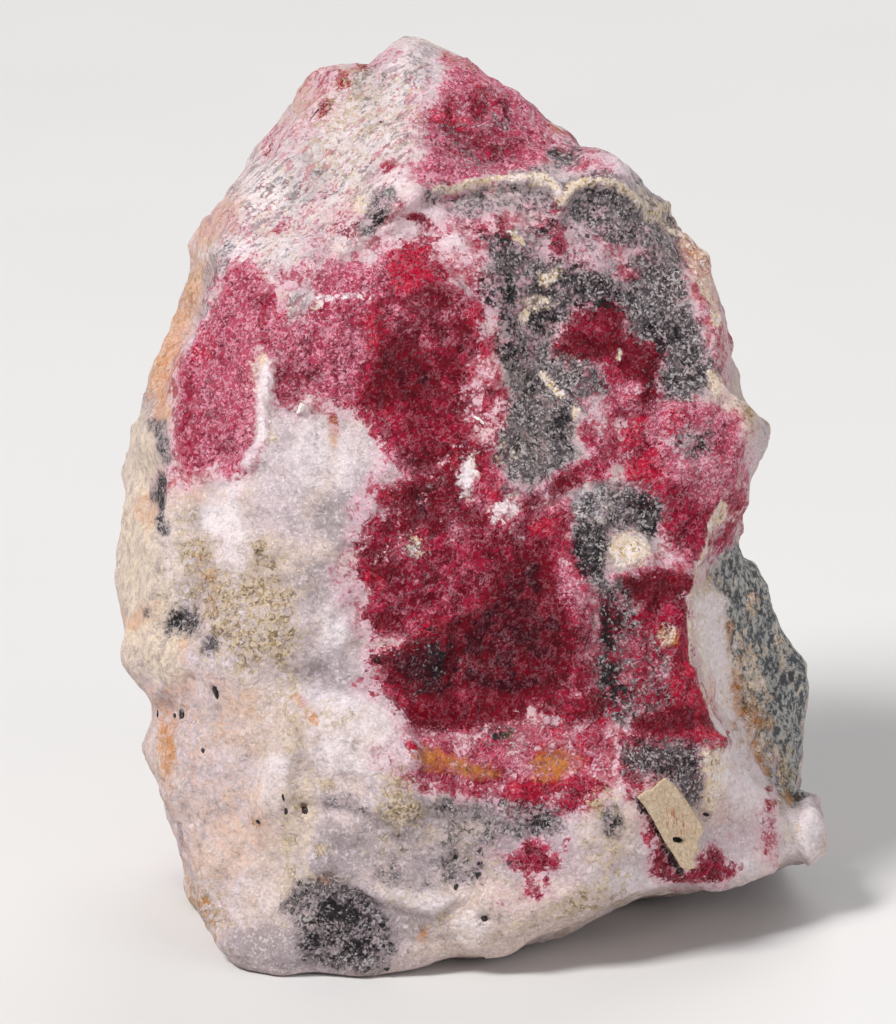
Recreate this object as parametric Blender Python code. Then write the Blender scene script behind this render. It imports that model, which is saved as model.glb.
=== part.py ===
"""A tugtupite specimen: one piece of broken rock, standing on the flat patch of its underside.

The rock is drawn facing its display face, with X to the right, Y back into the rock and Z up along the face.
It broke as two layers, a front plate that carries the display face and a back slab that shows past it on
both sides. Each layer is a rim, bridged to a smaller ring in front and split flat by fractures. A voxel
remesh joins them into one body. Then ledges, mounds and chips are raised or sunk, the rock is leaned back,
and its underside is cut level.

Lengths are millimetres until the last step, which turns them into Blender's metres.
"""

import math
from dataclasses import dataclass

import bmesh
import bpy
from mathutils import Matrix, Vector, noise

# Driving dimensions, in millimetres and degrees
MM = 0.001  # metres in a millimetre
LEAN = math.radians(18)  # how far the display face leans back from upright
PLATE_BACK = 25.0  # where the front plate ends, behind the foremost point of the display face
SLAB_FRONT = 12.0  # where the back slab begins, inside the plate
ROCK_BACK = 46.0  # where the back slab ends
GROUND = 0.3  # height of the ground once the rock is leaned, from the foot of the display face
VOXEL = 0.8  # grain of the remesh that joins the two layers
NORMAL_EASING = 2  # how many times each direction of displacement is averaged with its neighbours
EDGE_LOSS = 0.7  # how much the remesh and the smoothing take off the rims, which are drawn larger by this
MOST_TRIANGLES = 8600
LEVEL_SNAP = 0.05  # what ends up this near the ground is on it
ROCK_COLOUR = (0.62, 0.30, 0.33, 1.0)
ROCK_ROUGHNESS = 0.55

# The plate's rim, clockwise from the notch in the peak: right, up, and how far inside it the front edge is.
PLATE_RIM = (
    (-7.9, 82.0, 0.5), (-6.6, 84.0, 1), (-5.0, 85.2, 1), (-0.4, 84.8, 2), (3.8, 81.8, 2), (6.8, 79.8, 2),
    (9.4, 78.2, 2), (13.2, 74.6, 2), (16.2, 71.8, 2), (19.2, 69.8, 2), (23.5, 65.6, 3), (24.8, 61.0, 3),
    (24.4, 54.8, 3), (28.6, 51.2, 3), (25.3, 44.5, 2.5), (24.1, 40.0, 3.2), (23.0, 35.5, 4), (23.0, 30.1, 4),
    (24.4, 24.8, 4), (26.8, 19.5, 2.2), (30.0, 16.9, 1.8), (32.8, 14.9, 1.5), (32.6, 11.4, 1), (29.8, 10.4, 1),
    (25.0, 8.9, 1), (20.1, 8.3, 1), (13.8, 6.8, 1), (8.4, 5.5, 1), (3.0, 3.4, 1), (-2.4, 1.9, 1),
    (-8.2, 0.5, 1), (-12.3, 1.6, 1), (-14.5, 2.3, 0.5), (-15.7, 1.7, 0.5), (-18.0, 1.1, 1), (-20.0, 3.3, 1),
    (-22.2, 5.5, 1), (-24.4, 7.6, 1), (-25.2, 12.2, 2), (-26.4, 18.9, 2), (-27.2, 21.6, 2), (-26.3, 25.2, 3),
    (-29.5, 28.8, 4), (-31.5, 33.8, 5), (-31.7, 37.4, 5), (-29.0, 45.0, 5), (-30.5, 50.2, 4), (-29.1, 52.2, 4),
    (-28.3, 56.2, 3), (-26.7, 59.1, 3), (-23.8, 64.0, 3), (-23.2, 68.3, 2), (-20.2, 72.6, 2), (-16.8, 77.0, 2),
    (-15.2, 79.2, 1), (-10.9, 83.0, 1), (-9.3, 83.4, 0.5),
)

# The slab's rim, clockwise from the top right: right, up, and the same inset at its front.
SLAB_RIM = (
    (12.0, 73.3, 1), (17.8, 68.3, 1), (23.0, 62.7, 1), (24.4, 54.8, 1), (25.8, 53.8, 1), (28.4, 50.8, 1),
    (25.8, 44.5, 1), (24.9, 40.0, 1), (27.6, 36.9, 1), (29.2, 34.6, 1), (30.8, 32.0, 1), (32.6, 28.6, 1),
    (31.8, 24.8, 1), (30.9, 20.7, 1), (30.9, 15.8, 1), (31.5, 11.2, 1), (30.0, 8.5, 1), (12.0, 1.3, 1),
    (-2.4, -1.3, 1), (-19.5, -2.2, 1), (-23.2, 6.3, 1), (-26.0, 18.9, 1), (-26.3, 24.8, 1), (-29.2, 28.8, 1),
    (-31.4, 33.8, 1), (-31.7, 37.4, 1), (-30.4, 44.5, 1), (-30.6, 49.0, 1), (-28.5, 52.0, 1), (-24.0, 60.8, 1),
    (-18.6, 69.8, 1), (-11.4, 77.8, 1), (-3.3, 80.5, 1), (4.8, 77.8, 1),
)


@dataclass(frozen=True)
class Fracture:
    """A flat break through (right, back, up) that falls back by so much per millimetre right and up."""

    through: tuple[float, float, float]
    right: float
    up: float

    def towards_front(self) -> Vector:
        """The direction square to the break that points out of the display face."""
        return Vector((self.right, -1.0, self.up)).normalized()


# The display face: the rock lies behind every one of these.
FACE_FRACTURES = (
    Fracture((0.0, 1.5, 35.0), 0.03, 0.02),  # the broad middle
    Fracture((-18.5, 1.5, 50.0), -0.55, 0.05),  # red block, left of the upright ridge
    Fracture((-26.0, 5.5, 53.5), -1.6, 0.17),  # weathered rind on the left side
    Fracture((-15.5, 1.5, 10.0), -0.68, -0.10),  # pale lower left
    Fracture((-5.1, 2.5, 70.7), -0.335, 0.80),  # pale shoulder, upper left
    Fracture((-5.1, 2.5, 70.7), 0.24, 0.72),  # red shoulder, upper right
    Fracture((2.0, 1.8, 55.0), 0.32, 0.10),  # grey right flank
    Fracture((18.0, 4.0, 15.0), 0.72, -0.08),  # grey lower right
    Fracture((-8.0, 1.5, 4.0), 0.02, -0.45),  # foot
)

# The slab's front, which shows only past the plate's two sides.
SLAB_FRONT_FRACTURES = (
    Fracture((24.0, 18.5, 28.0), 0.8, 0.12),  # grey recess on the right
    Fracture((-27.5, 15.0, 40.0), -1.3, -0.15),  # cream side on the left
)

# The back: the rock lies in front of every one of these.
BACK_FRACTURES = (
    Fracture((0.0, 44.0, 30.0), 0.06, -0.12),
    Fracture((0.0, 38.0, 58.0), -0.10, -0.62),
    Fracture((-19.0, 41.0, 30.0), 0.95, 0.10),
    Fracture((20.0, 40.0, 32.0), -0.85, -0.15),
    Fracture((6.0, 42.5, 18.0), 0.20, 0.45),
    Fracture((-12.0, 35.0, 66.0), 0.70, -0.85),
)

# The underside slopes up to the right from the ground, between these three points.
UNDERSIDE = ((-8.2, 3.0, 1.1), (25.0, 9.0, 10.3), (30.0, 31.0, 11.6))


@dataclass(frozen=True)
class Ledge:
    """A step in the display face: what lies left of someone walking along the line is raised by `rise`."""

    line: tuple[tuple[float, float], ...]
    rise: float
    run: float  # how far back from its edge the raised ground reaches

    def height(self, right: float, up: float) -> float:
        """How far the ledge lifts the face at a point, in millimetres."""
        nearest, side = None, 0.0
        for (r0, u0), (r1, u1) in zip(self.line, self.line[1:]):
            along = Vector((r1 - r0, u1 - u0))
            away = Vector((right - r0, up - u0))
            share = min(max(away.dot(along) / along.length_squared, 0.0), 1.0)
            distance = (away - share * along).length
            if nearest is None or distance < nearest:
                nearest = distance
                side = (along.x * away.y - along.y * away.x) / along.length
        step = smooth_step(side, -STEP_WIDTH, STEP_WIDTH)
        return self.rise * step * math.exp(-((nearest / self.run) ** 2))


@dataclass(frozen=True)
class Mound:
    """A low rounded rise, or a hollow if `rise` is negative, in an oval turned by `turn` degrees."""

    at: tuple[float, float]
    radii: tuple[float, float]
    turn: float
    rise: float
    flat: bool = False  # a flat top with steep sides, as on a crystal's face

    def height(self, right: float, up: float) -> float:
        """How far the mound lifts the face at a point, in millimetres."""
        offset = Matrix.Rotation(math.radians(-self.turn), 2) @ Vector((right - self.at[0], up - self.at[1]))
        x, y = abs(offset.x) / self.radii[0], abs(offset.y) / self.radii[1]
        if self.flat:
            return self.rise * (1.0 - smooth_step(max(x, y), *FLAT_EDGE))
        return self.rise * max(0.0, 1.0 - x * x - y * y) ** 2


STEP_WIDTH = 0.5
FLAT_EDGE = (0.8, 1.1)  # where a flat mound's side begins and ends, as shares of its radii
LEDGES = (
    # grey hollow below the red shoulder
    Ledge(((19.5, 69.0), (15.5, 71.0), (9.5, 71.0), (7.0, 71.8), (3.0, 71.4), (-3.5, 69.8)), -1.5, 5.0),
    # white plate on the lower left
    Ledge(((-4.0, 18.5), (-5.8, 23.5), (-9.0, 25.5), (-12.5, 25.8), (-16.0, 25.6), (-17.0, 22.0)), 1.3, 5.0),
    Ledge(((2.5, 5.4), (-1.5, 5.6), (-4.5, 6.6), (-8.0, 8.8)), -1.0, 4.0),  # scallop at the foot
    Ledge(((-9.4, 48.6), (-9.0, 52.0), (-8.0, 57.0)), -0.8, 4.0),  # left edge of the dark red block
    Ledge(((21.0, 22.0), (15.0, 20.5), (12.5, 17.5)), 1.0, 5.0),  # below the red tip
    Ledge(((-20.2, 43.5), (-24.0, 44.2), (-27.0, 46.0)), -0.5, 3.0),  # below the left red block
    Ledge(((-7.4, 29.6), (-1.5, 31.6), (-1.2, 24.8)), -0.9, 4.5),  # round the dark dip
)
MOUNDS = (
    Mound((-12.0, 44.0), (9.0, 12.0), 10.0, 1.4),  # white swell beside the red face
    Mound((-18.0, 51.0), (1.4, 5.0), 4.0, 0.9),  # white rib on the upright ridge
    Mound((0.5, 62.0), (9.0, 6.0), 20.0, 1.0),  # red swell below the peak
    Mound((15.0, 38.5), (3.4, 3.0), 0.0, 1.2),  # cream knob
    Mound((8.0, 56.0), (4.0, 9.0), 15.0, -1.2),  # grey hollow
    Mound((7.0, 41.0), (4.5, 7.0), -10.0, -0.9),
    Mound((-3.5, 28.0), (4.5, 3.6), 0.0, -1.0),  # dark dip in the red face
    Mound((-14.5, 15.2), (1.3, 1.3), 0.0, -1.6),  # pit
    Mound((-19.0, 36.0), (6.5, 5.0), -35.0, -1.3),  # worn olive patch
    Mound((-12.5, 4.0), (5.0, 3.5), 10.0, -1.2),  # dark hollow at the foot
    Mound((18.6, 14.0), (2.3, 4.9), 32.0, 1.1, flat=True),  # cream crystal, lying on the face
    Mound((21.5, 19.0), (1.4, 3.4), -12.0, 0.7, flat=True),
)
NOTCH = ((-7.8, 82.6), 1.7, 0.9)  # where the peak is split: (right, up), reach and depth

# Chips are cells of the broken surface, each tilted its own way: how wide they are, and how steep.
CHIPS = ((11.0, 0.15), (5.5, 0.15))
CHIP_BLEND = 1.6  # width over which one chip gives way to the next
CHIP_SHUFFLE = 31.7  # spreads the chips' slopes, which are drawn from their centres
SWELL_SIZE, SWELL_HEIGHT = 16.0, 1.1
FACE_CALM = 0.5  # the display face is this much as rough as the sides and back
FACE_TURN = (0.25, 0.6)  # how squarely the surface faces front where the display face begins, and fully is


def smooth_step(value: float, low: float, high: float) -> float:
    """0 below `low`, 1 above `high`, and an even curve between."""
    share = min(max((value - low) / (high - low), 0.0), 1.0)
    return share * share * (3.0 - 2.0 * share)


def layer(rim: tuple, front: float, back: float) -> bmesh.types.BMesh:
    """A closed layer of rock from `front` to `back`. Its back fills the rim and its front is smaller."""
    bm = bmesh.new()
    back_ring, front_ring = [], []
    for index, (right, up, inset) in enumerate(rim):
        before, after = rim[index - 1], rim[(index + 1) % len(rim)]
        outward = Vector((before[1] - after[1], 0.0, after[0] - before[0])).normalized()
        back_ring.append(bm.verts.new(Vector((right, back, up)) + EDGE_LOSS * outward))
        front_ring.append(bm.verts.new(Vector((right, front, up)) + (EDGE_LOSS - inset) * outward))
    bm.faces.new(back_ring)
    edges = [bm.edges.new(pair) for pair in zip(front_ring, front_ring[1:] + front_ring[:1])]
    bmesh.ops.bridge_loops(bm, edges=edges + [edge for edge in bm.edges if edge.is_boundary])
    bmesh.ops.holes_fill(bm, edges=[edge for edge in bm.edges if edge.is_boundary])
    bmesh.ops.recalc_face_normals(bm, faces=bm.faces[:])
    return bm


def split_off(bm: bmesh.types.BMesh, point: Vector, away: Vector) -> None:
    """Breaks off what lies beyond a plane, on the side that `away` points to, and closes the wound."""
    geometry = bm.verts[:] + bm.edges[:] + bm.faces[:]
    bmesh.ops.bisect_plane(bm, geom=geometry, plane_co=point, plane_no=away, clear_outer=True)
    bmesh.ops.holes_fill(bm, edges=[edge for edge in bm.edges if edge.is_boundary])
    bmesh.ops.recalc_face_normals(bm, faces=bm.faces[:])


def split_along_underside(bm: bmesh.types.BMesh) -> None:
    """Breaks the layer off below the sloping underside."""
    front_left, front_right, back_right = (Vector(point) for point in UNDERSIDE)
    square = (front_right - front_left).cross(back_right - front_left)
    split_off(bm, front_left, square if square.z < 0 else -square)


def broken_layers() -> bmesh.types.BMesh:
    """The front plate and the back slab, split by their fractures, as two overlapping closed shells."""
    plate = layer(PLATE_RIM, 0.0, PLATE_BACK)
    slab = layer(SLAB_RIM, SLAB_FRONT, ROCK_BACK)
    for fracture in FACE_FRACTURES:
        split_off(plate, Vector(fracture.through), fracture.towards_front())
    for fracture in SLAB_FRONT_FRACTURES:
        split_off(slab, Vector(fracture.through), fracture.towards_front())
    for fracture in BACK_FRACTURES:
        split_off(slab, Vector(fracture.through), -fracture.towards_front())
    for bm in (plate, slab):
        split_along_underside(bm)
    carried = bpy.data.meshes.new("slab")
    slab.to_mesh(carried)
    slab.free()
    plate.from_mesh(carried)
    bpy.data.meshes.remove(carried)
    return plate


def evaluated(bm: bmesh.types.BMesh, kind: str, settings: dict) -> bmesh.types.BMesh:
    """The mesh with one modifier applied, as a new bmesh. The old one is freed."""
    mesh = bpy.data.meshes.new("working")
    bm.to_mesh(mesh)
    bm.free()
    working = bpy.data.objects.new("working", mesh)
    bpy.context.scene.collection.objects.link(working)
    modifier = working.modifiers.new(kind.title(), kind)
    for name, value in settings.items():
        setattr(modifier, name, value)
    graph = bpy.context.evaluated_depsgraph_get()
    result = bmesh.new()
    result.from_mesh(working.evaluated_get(graph).to_mesh())
    bpy.data.objects.remove(working)
    bpy.data.meshes.remove(mesh)
    return result


def chip(point: Vector, size: float, tilt: float) -> float:
    """Height of the chipped surface at a point: its cell is a small plane with its own slope."""
    distances, centres = noise.voronoi(point / size)
    heights = []
    for centre in centres[:2]:
        slope = 2.0 * noise.cell_vector(centre * CHIP_SHUFFLE) - Vector((1.0, 1.0, 1.0))
        heights.append(size * tilt * slope.dot(point / size - centre))
    inside = smooth_step(distances[1] - distances[0], 0.0, CHIP_BLEND / size)
    return heights[1] + (heights[0] - heights[1]) * (0.5 + 0.5 * inside)


def roughness_at(point: Vector) -> float:
    """How far the broken surface stands out of its fracture planes at a point."""
    swell = SWELL_HEIGHT * noise.fractal(point / SWELL_SIZE, 1.0, 2.0, 3)
    return swell + sum(chip(point, size, tilt) for size, tilt in CHIPS)


def face_relief(point: Vector) -> float:
    """How far ledges and mounds lift the display face at a point."""
    return sum(feature.height(point.x, point.z) for feature in LEDGES + MOUNDS)


def eased_normals(bm: bmesh.types.BMesh) -> list[Vector]:
    """The direction that each vertex faces, averaged with its neighbours' so that moves don't cross."""
    bm.normal_update()
    bm.verts.index_update()
    neighbours = [[edge.other_vert(vert).index for edge in vert.link_edges] for vert in bm.verts]
    normals = [vert.normal.copy() for vert in bm.verts]
    for _ in range(NORMAL_EASING):
        normals = [
            sum((normals[other] for other in near), normals[index]).normalized()
            for index, near in enumerate(neighbours)
        ]
    return normals


def roughen(bm: bmesh.types.BMesh) -> None:
    """Raises and sinks the surface: chips all round, ledges and mounds in front, the peak's notch."""
    (notch_right, notch_up), notch_reach, notch_depth = NOTCH
    moves = []
    for vert, normal in zip(bm.verts, eased_normals(bm)):
        facing = smooth_step(-normal.y, *FACE_TURN)
        move = normal * roughness_at(vert.co) * (1.0 + (FACE_CALM - 1.0) * facing)
        move.y -= facing * face_relief(vert.co)
        to_notch = math.hypot(vert.co.x - notch_right, vert.co.z - notch_up) / notch_reach
        move.z -= notch_depth * max(0.0, 1.0 - to_notch)
        moves.append(move)
    for vert, move in zip(bm.verts, moves):
        vert.co += move


def smooth(bm: bmesh.types.BMesh) -> None:
    """Takes the voxels' steps off the surface."""
    every_axis = {"use_axis_x": True, "use_axis_y": True, "use_axis_z": True}
    bmesh.ops.smooth_vert(bm, verts=bm.verts[:], factor=0.5, **every_axis)


def stand_up(bm: bmesh.types.BMesh) -> None:
    """Leans the rock back and cuts its underside level with the ground, still in millimetres."""
    lean = Matrix.Translation((0.0, 0.0, -GROUND)) @ Matrix.Rotation(-LEAN, 4, "X")
    bmesh.ops.transform(bm, matrix=lean, verts=bm.verts[:])
    split_off(bm, Vector(), Vector((0.0, 0.0, -1.0)))


def centre(bm: bmesh.types.BMesh) -> None:
    """Levels the underside and moves the middle of the rock's box to the origin, seen from above."""
    for vert in bm.verts:
        if abs(vert.co.z) < LEVEL_SNAP:
            vert.co.z = 0.0
    for axis in range(2):
        places = [vert.co[axis] for vert in bm.verts]
        middle = (min(places) + max(places)) / 2
        for vert in bm.verts:
            vert.co[axis] -= middle


def rock_material() -> bpy.types.Material:
    """A plain rose-red stone finish."""
    material = bpy.data.materials.new("tugtupite_rock")
    material.use_nodes = True
    shader = material.node_tree.nodes["Principled BSDF"]
    shader.inputs["Base Color"].default_value = ROCK_COLOUR
    shader.inputs["Roughness"].default_value = ROCK_ROUGHNESS
    shader.inputs["Metallic"].default_value = 0.0
    return material


def build_rock() -> bpy.types.Object:
    """Builds the whole rock as one object."""
    bm = evaluated(broken_layers(), "REMESH", {"mode": "VOXEL", "voxel_size": VOXEL})
    smooth(bm)
    roughen(bm)
    smooth(bm)
    stand_up(bm)
    bmesh.ops.triangulate(bm, faces=bm.faces[:])
    kept = MOST_TRIANGLES / len(bm.faces)
    bm = evaluated(bm, "DECIMATE", {"decimate_type": "COLLAPSE", "ratio": kept})
    centre(bm)
    bmesh.ops.scale(bm, vec=(MM, MM, MM), verts=bm.verts[:])
    mesh = bpy.data.meshes.new("tugtupite_rock")
    bm.to_mesh(mesh)
    bm.free()
    mesh.materials.append(rock_material())
    rock = bpy.data.objects.new("tugtupite_rock", mesh)
    bpy.context.scene.collection.objects.link(rock)
    return rock


def main() -> None:
    """Clears the scene and builds the specimen."""
    for old in list(bpy.data.objects):
        bpy.data.objects.remove(old)
    build_rock()


main()
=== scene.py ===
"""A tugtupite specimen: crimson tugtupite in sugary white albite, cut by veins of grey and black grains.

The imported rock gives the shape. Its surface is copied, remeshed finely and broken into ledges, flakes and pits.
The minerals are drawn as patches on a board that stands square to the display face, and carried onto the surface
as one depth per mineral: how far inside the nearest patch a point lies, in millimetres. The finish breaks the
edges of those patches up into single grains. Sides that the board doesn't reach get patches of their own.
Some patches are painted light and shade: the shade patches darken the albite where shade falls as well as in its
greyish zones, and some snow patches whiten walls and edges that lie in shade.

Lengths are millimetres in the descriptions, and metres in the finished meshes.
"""

import logging
import math
from dataclasses import dataclass, field
from enum import Enum
from itertools import product
from typing import Union

import bmesh
import bpy
import numpy as np
from mathutils import Matrix, Vector
from mathutils.bvhtree import BVHTree


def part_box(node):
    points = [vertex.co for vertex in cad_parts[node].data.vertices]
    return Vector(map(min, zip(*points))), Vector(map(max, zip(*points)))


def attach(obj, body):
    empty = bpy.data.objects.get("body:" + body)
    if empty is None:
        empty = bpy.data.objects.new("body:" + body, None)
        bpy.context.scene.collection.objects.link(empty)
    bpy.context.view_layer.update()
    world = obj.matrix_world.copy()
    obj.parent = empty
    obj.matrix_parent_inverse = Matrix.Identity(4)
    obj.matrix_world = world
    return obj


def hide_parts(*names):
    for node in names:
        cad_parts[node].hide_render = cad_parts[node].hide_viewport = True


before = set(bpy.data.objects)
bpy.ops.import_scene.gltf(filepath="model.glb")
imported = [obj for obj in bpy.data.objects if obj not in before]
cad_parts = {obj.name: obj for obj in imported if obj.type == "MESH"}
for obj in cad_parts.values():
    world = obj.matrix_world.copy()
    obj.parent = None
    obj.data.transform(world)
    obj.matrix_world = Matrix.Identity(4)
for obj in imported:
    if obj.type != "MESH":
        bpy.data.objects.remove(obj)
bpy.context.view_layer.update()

MM = 0.001
WORD = 0xFFFFFFFF
STRIDES = (73856093, 19349663, 83492791)
SEED_STRIDE = 40503
MIXERS = (739995977, 1274126177)
NOISE_TURN = ((0.8, 0.36, -0.48), (0.0, 0.8, 0.6), (0.6, -0.48, 0.64))
SWELL_SHIFT, SHELL_SHIFT = 17.3, 3.7
log = logging.getLogger("specimen")

Point = tuple[float, float]
Colour = tuple[float, float, float, float]


def paint(red: int, green: int, blue: int) -> Colour:
    """A colour from its three screen values, 0 to 255, as the shader wants it."""

    def linear(value: int) -> float:
        """One screen value as an amount of light."""
        share = value / 255
        return share / 12.92 if share <= 0.04045 else ((share + 0.055) / 1.055) ** 2.4

    return (linear(red), linear(green), linear(blue), 1.0)


# ---------------------------------------------------------------- meshes and pieces


def placed(name: str, bm: bmesh.types.BMesh) -> bpy.types.Object:
    """Puts a shape into the scene as a new object, and lets go of the shape."""
    mesh = bpy.data.meshes.new(name)
    bm.to_mesh(mesh)
    bm.free()
    piece = bpy.data.objects.new(name, mesh)
    bpy.context.scene.collection.objects.link(piece)
    return piece


def make_even(piece: bpy.types.Object, grain: float) -> None:
    """Remeshes a piece into even faces, so many millimetres wide."""
    rough = piece.data
    remesh = piece.modifiers.new("even grain", "REMESH")
    remesh.mode = "VOXEL"
    remesh.voxel_size = grain * MM
    depsgraph = bpy.context.evaluated_depsgraph_get()
    even = bpy.data.meshes.new_from_object(piece.evaluated_get(depsgraph))
    piece.modifiers.clear()
    piece.data = even
    even.materials.clear()
    bpy.data.meshes.remove(rough)
    even.name = piece.name


def move_points(mesh: bpy.types.Mesh, points: np.ndarray) -> None:
    """Moves a mesh's points to places given in millimetres."""
    mesh.vertices.foreach_set("co", (points * MM).ravel())
    mesh.update()


def carry(mesh: bpy.types.Mesh, name: str, values: np.ndarray) -> None:
    """Stores one number for each point of a mesh."""
    mesh.attributes.new(name, "FLOAT", "POINT").data.foreach_set("value", values.astype(np.float32))


def shade_smooth(mesh: bpy.types.Mesh) -> None:
    """Lets light run smoothly over a mesh's faces."""
    for polygon in mesh.polygons:
        polygon.use_smooth = True


# ---------------------------------------------------------------- noise on arrays of points


def lattice(cells: np.ndarray, seed: int) -> np.ndarray:
    """An even random number from 0 to 1 for each whole-numbered cell.

    Args:
        cells: whole numbers, three to a row.
        seed: picks one of many tables of numbers.

    Returns:
        One number for each row, the same every time.
    """
    key = (seed + 1) * SEED_STRIDE
    for axis, stride in enumerate(STRIDES):
        key = key ^ cells[:, axis] * stride
    key = key & WORD
    key = ((key ^ (key >> 15)) * MIXERS[0]) & WORD
    key = ((key ^ (key >> 13)) * MIXERS[1]) & WORD
    return ((key ^ (key >> 16)) & 0xFFFFFF) / 0xFFFFFF


def swell(points: np.ndarray, size: float, seed: int) -> np.ndarray:
    """Smooth random swells, from about -1 to 1.

    Args:
        points: places, three numbers to a row.
        size: how wide a swell is, in the units of the points.
        seed: picks the pattern.

    Returns:
        One height for each point.
    """
    turned = points @ np.array(NOISE_TURN) / size + SWELL_SHIFT * seed
    base = np.floor(turned).astype(np.int64)
    share = turned - base
    share = share * share * (3.0 - 2.0 * share)
    total = np.zeros(len(points))
    for corner in product((0, 1), repeat=3):
        weight = np.prod(np.where(corner, share, 1.0 - share), axis=1)
        total += weight * lattice(base + np.array(corner), seed)
    return 2.0 * total - 1.0


def rubble(points: np.ndarray, size: float, seed: int, layers: int = 3) -> np.ndarray:
    """Swells on swells, each layer half as wide and half as high as the one before."""
    total = sum(swell(points, size / 2**i, seed + 31 * i) / 2**i for i in range(layers))
    return total / (2.0 - 0.5 ** (layers - 1)) * 1.6


def flakes(points: np.ndarray, cell: float, tilt: float, seed: int, dome: float = 0.35) -> np.ndarray:
    """The height of a surface broken into shallow shells, each leaning its own way, with crisp ridges between.

    Args:
        points: places in millimetres.
        cell: how wide a shell is.
        tilt: how steeply a shell may lean.
        seed: picks the pattern.
        dome: how round a shell is.

    Returns:
        Heights in millimetres, which average about zero.
    """
    scaled = points / cell + SHELL_SHIFT * seed
    home = np.floor(scaled).astype(np.int64)
    lowest = np.full(len(points), np.inf)
    for step in product((-1, 0, 1), repeat=3):
        near = home + np.array(step)
        away = scaled - near - np.stack([lattice(near, seed + k) for k in range(3)], axis=1)
        lean = np.stack([lattice(near, seed + 3 + k) for k in range(3)], axis=1) - 0.5
        lowest = np.minimum(lowest, 2.0 * tilt * np.sum(away * lean, axis=1) + dome * np.sum(away * away, axis=1))
    return cell * (lowest - lowest.mean())


# ---------------------------------------------------------------- the board that the face is drawn on


class Board:
    """A drawing board square to the display face, 896 units wide and 1024 high, seen from one point.

    A unit is 0.09 mm at the aim. Places on the board run right and down from its top left corner.
    """

    unit = 0.09
    wide, high = 896, 1024
    distance = 900.0
    rise = math.radians(18.0)
    aim = Vector((-1.98, -14.05, 40.32))

    def __init__(self) -> None:
        """Sets the board's three directions and the point that it is seen from."""
        self.out = Vector((0.0, -math.cos(self.rise), math.sin(self.rise)))
        self.right = Vector((1.0, 0.0, 0.0))
        self.up = self.out.cross(self.right)
        self.eye = self.aim + self.distance * self.out

    def spots(self, points: np.ndarray) -> np.ndarray:
        """Where each point of space, in millimetres, falls on the board."""
        away = points - np.array(self.eye)
        depth = -(away @ np.array(self.out))
        scale = self.distance / self.unit / depth
        right = self.wide / 2 + (away @ np.array(self.right)) * scale
        down = self.high / 2 - (away @ np.array(self.up)) * scale
        return np.stack((right, down), axis=1)

    def ray(self, spot: Point) -> Vector:
        """The direction from the eye through a place on the board."""
        right = (spot[0] - self.wide / 2) * self.unit
        up = (self.high / 2 - spot[1]) * self.unit
        return (self.right * right + self.up * up - self.out * self.distance).normalized()


class Mineral(Enum):
    """What the patches are made of, by the name of the attribute that holds their depth. The shade patches are partly
    painted shade, and the snow patches partly painted light.
    """

    RED = "red"
    DEEP = "deep"
    VIVID = "vivid"
    PINK = "pink"
    GREY = "grey"
    BLACK = "black"
    CREAM = "cream"
    OCHRE = "ochre"
    RUST = "rust"
    SNOW_AND_PAINTED_LIGHT = "snow_and_painted_light"
    GREY_AND_PAINTED_SHADE = "shade"
    SLAB = "slab"
    FROST = "frost"
    STREAK = "streak"
    CRUST = "crust"
    AMBER = "amber"


# How much of a patch its mineral fills: the depth that the patch can't exceed, in millimetres.
SOLID, MOST, HALF, SOME, FEW = 3.0, 0.7, 0.1, -0.5, -1.05
OUTSIDE = -2.8
BROAD = 1.2
KEENEST = 4.0


def keen(half_width: float) -> float:
    """How much to steepen the depth of a patch so narrow that its edges would otherwise wander right across it."""
    return min(max(BROAD / (half_width * Board.unit), 1.0), KEENEST)


def apart(spots: np.ndarray, start: Point, end: Point) -> np.ndarray:
    """How far each spot lies from the straight line between two points, in units of the board."""
    along = np.array(end, float) - start
    away = spots - start
    share = np.clip(away @ along / max(along @ along, 1e-9), 0.0, 1.0)
    return np.hypot(*(away - share[:, None] * along).T)


@dataclass(frozen=True)
class Area:
    """A patch inside a closed outline."""

    outline: tuple[Point, ...]
    fill: float = SOLID

    def depth(self, spots: np.ndarray) -> np.ndarray:
        """How far inside the outline each spot lies, in millimetres, below zero outside it."""
        nearest = np.full(len(spots), np.inf)
        inside = np.zeros(len(spots), bool)
        for (x0, y0), (x1, y1) in zip(self.outline, self.outline[1:] + self.outline[:1]):
            nearest = np.minimum(nearest, apart(spots, (x0, y0), (x1, y1)))
            if y0 != y1:
                spans = (y0 > spots[:, 1]) != (y1 > spots[:, 1])
                inside ^= spans & (spots[:, 0] < x0 + (spots[:, 1] - y0) * (x1 - x0) / (y1 - y0))
        ring = np.array(self.outline + self.outline[:1], float)
        girth = np.hypot(*np.diff(ring, axis=0).T).sum()
        surface = abs(np.sum(ring[:-1, 0] * ring[1:, 1] - ring[1:, 0] * ring[:-1, 1])) / 2
        depth = np.where(inside, nearest, -nearest) * Board.unit
        return np.minimum(depth * keen(2 * surface / girth), self.fill)


@dataclass(frozen=True)
class Oval:
    """A patch inside an oval, turned by so many degrees clockwise."""

    at: Point
    radii: Point
    turn: float = 0.0
    fill: float = SOLID

    def depth(self, spots: np.ndarray) -> np.ndarray:
        """How far inside the oval each spot lies, in millimetres, below zero outside it."""
        c, s = math.cos(math.radians(self.turn)), math.sin(math.radians(self.turn))
        x, y = (spots - self.at).T
        size = np.hypot((c * x + s * y) / self.radii[0], (c * y - s * x) / self.radii[1])
        depth = (1.0 - size) * min(self.radii) * Board.unit
        return np.minimum(depth * keen(min(self.radii)), self.fill)


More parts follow.
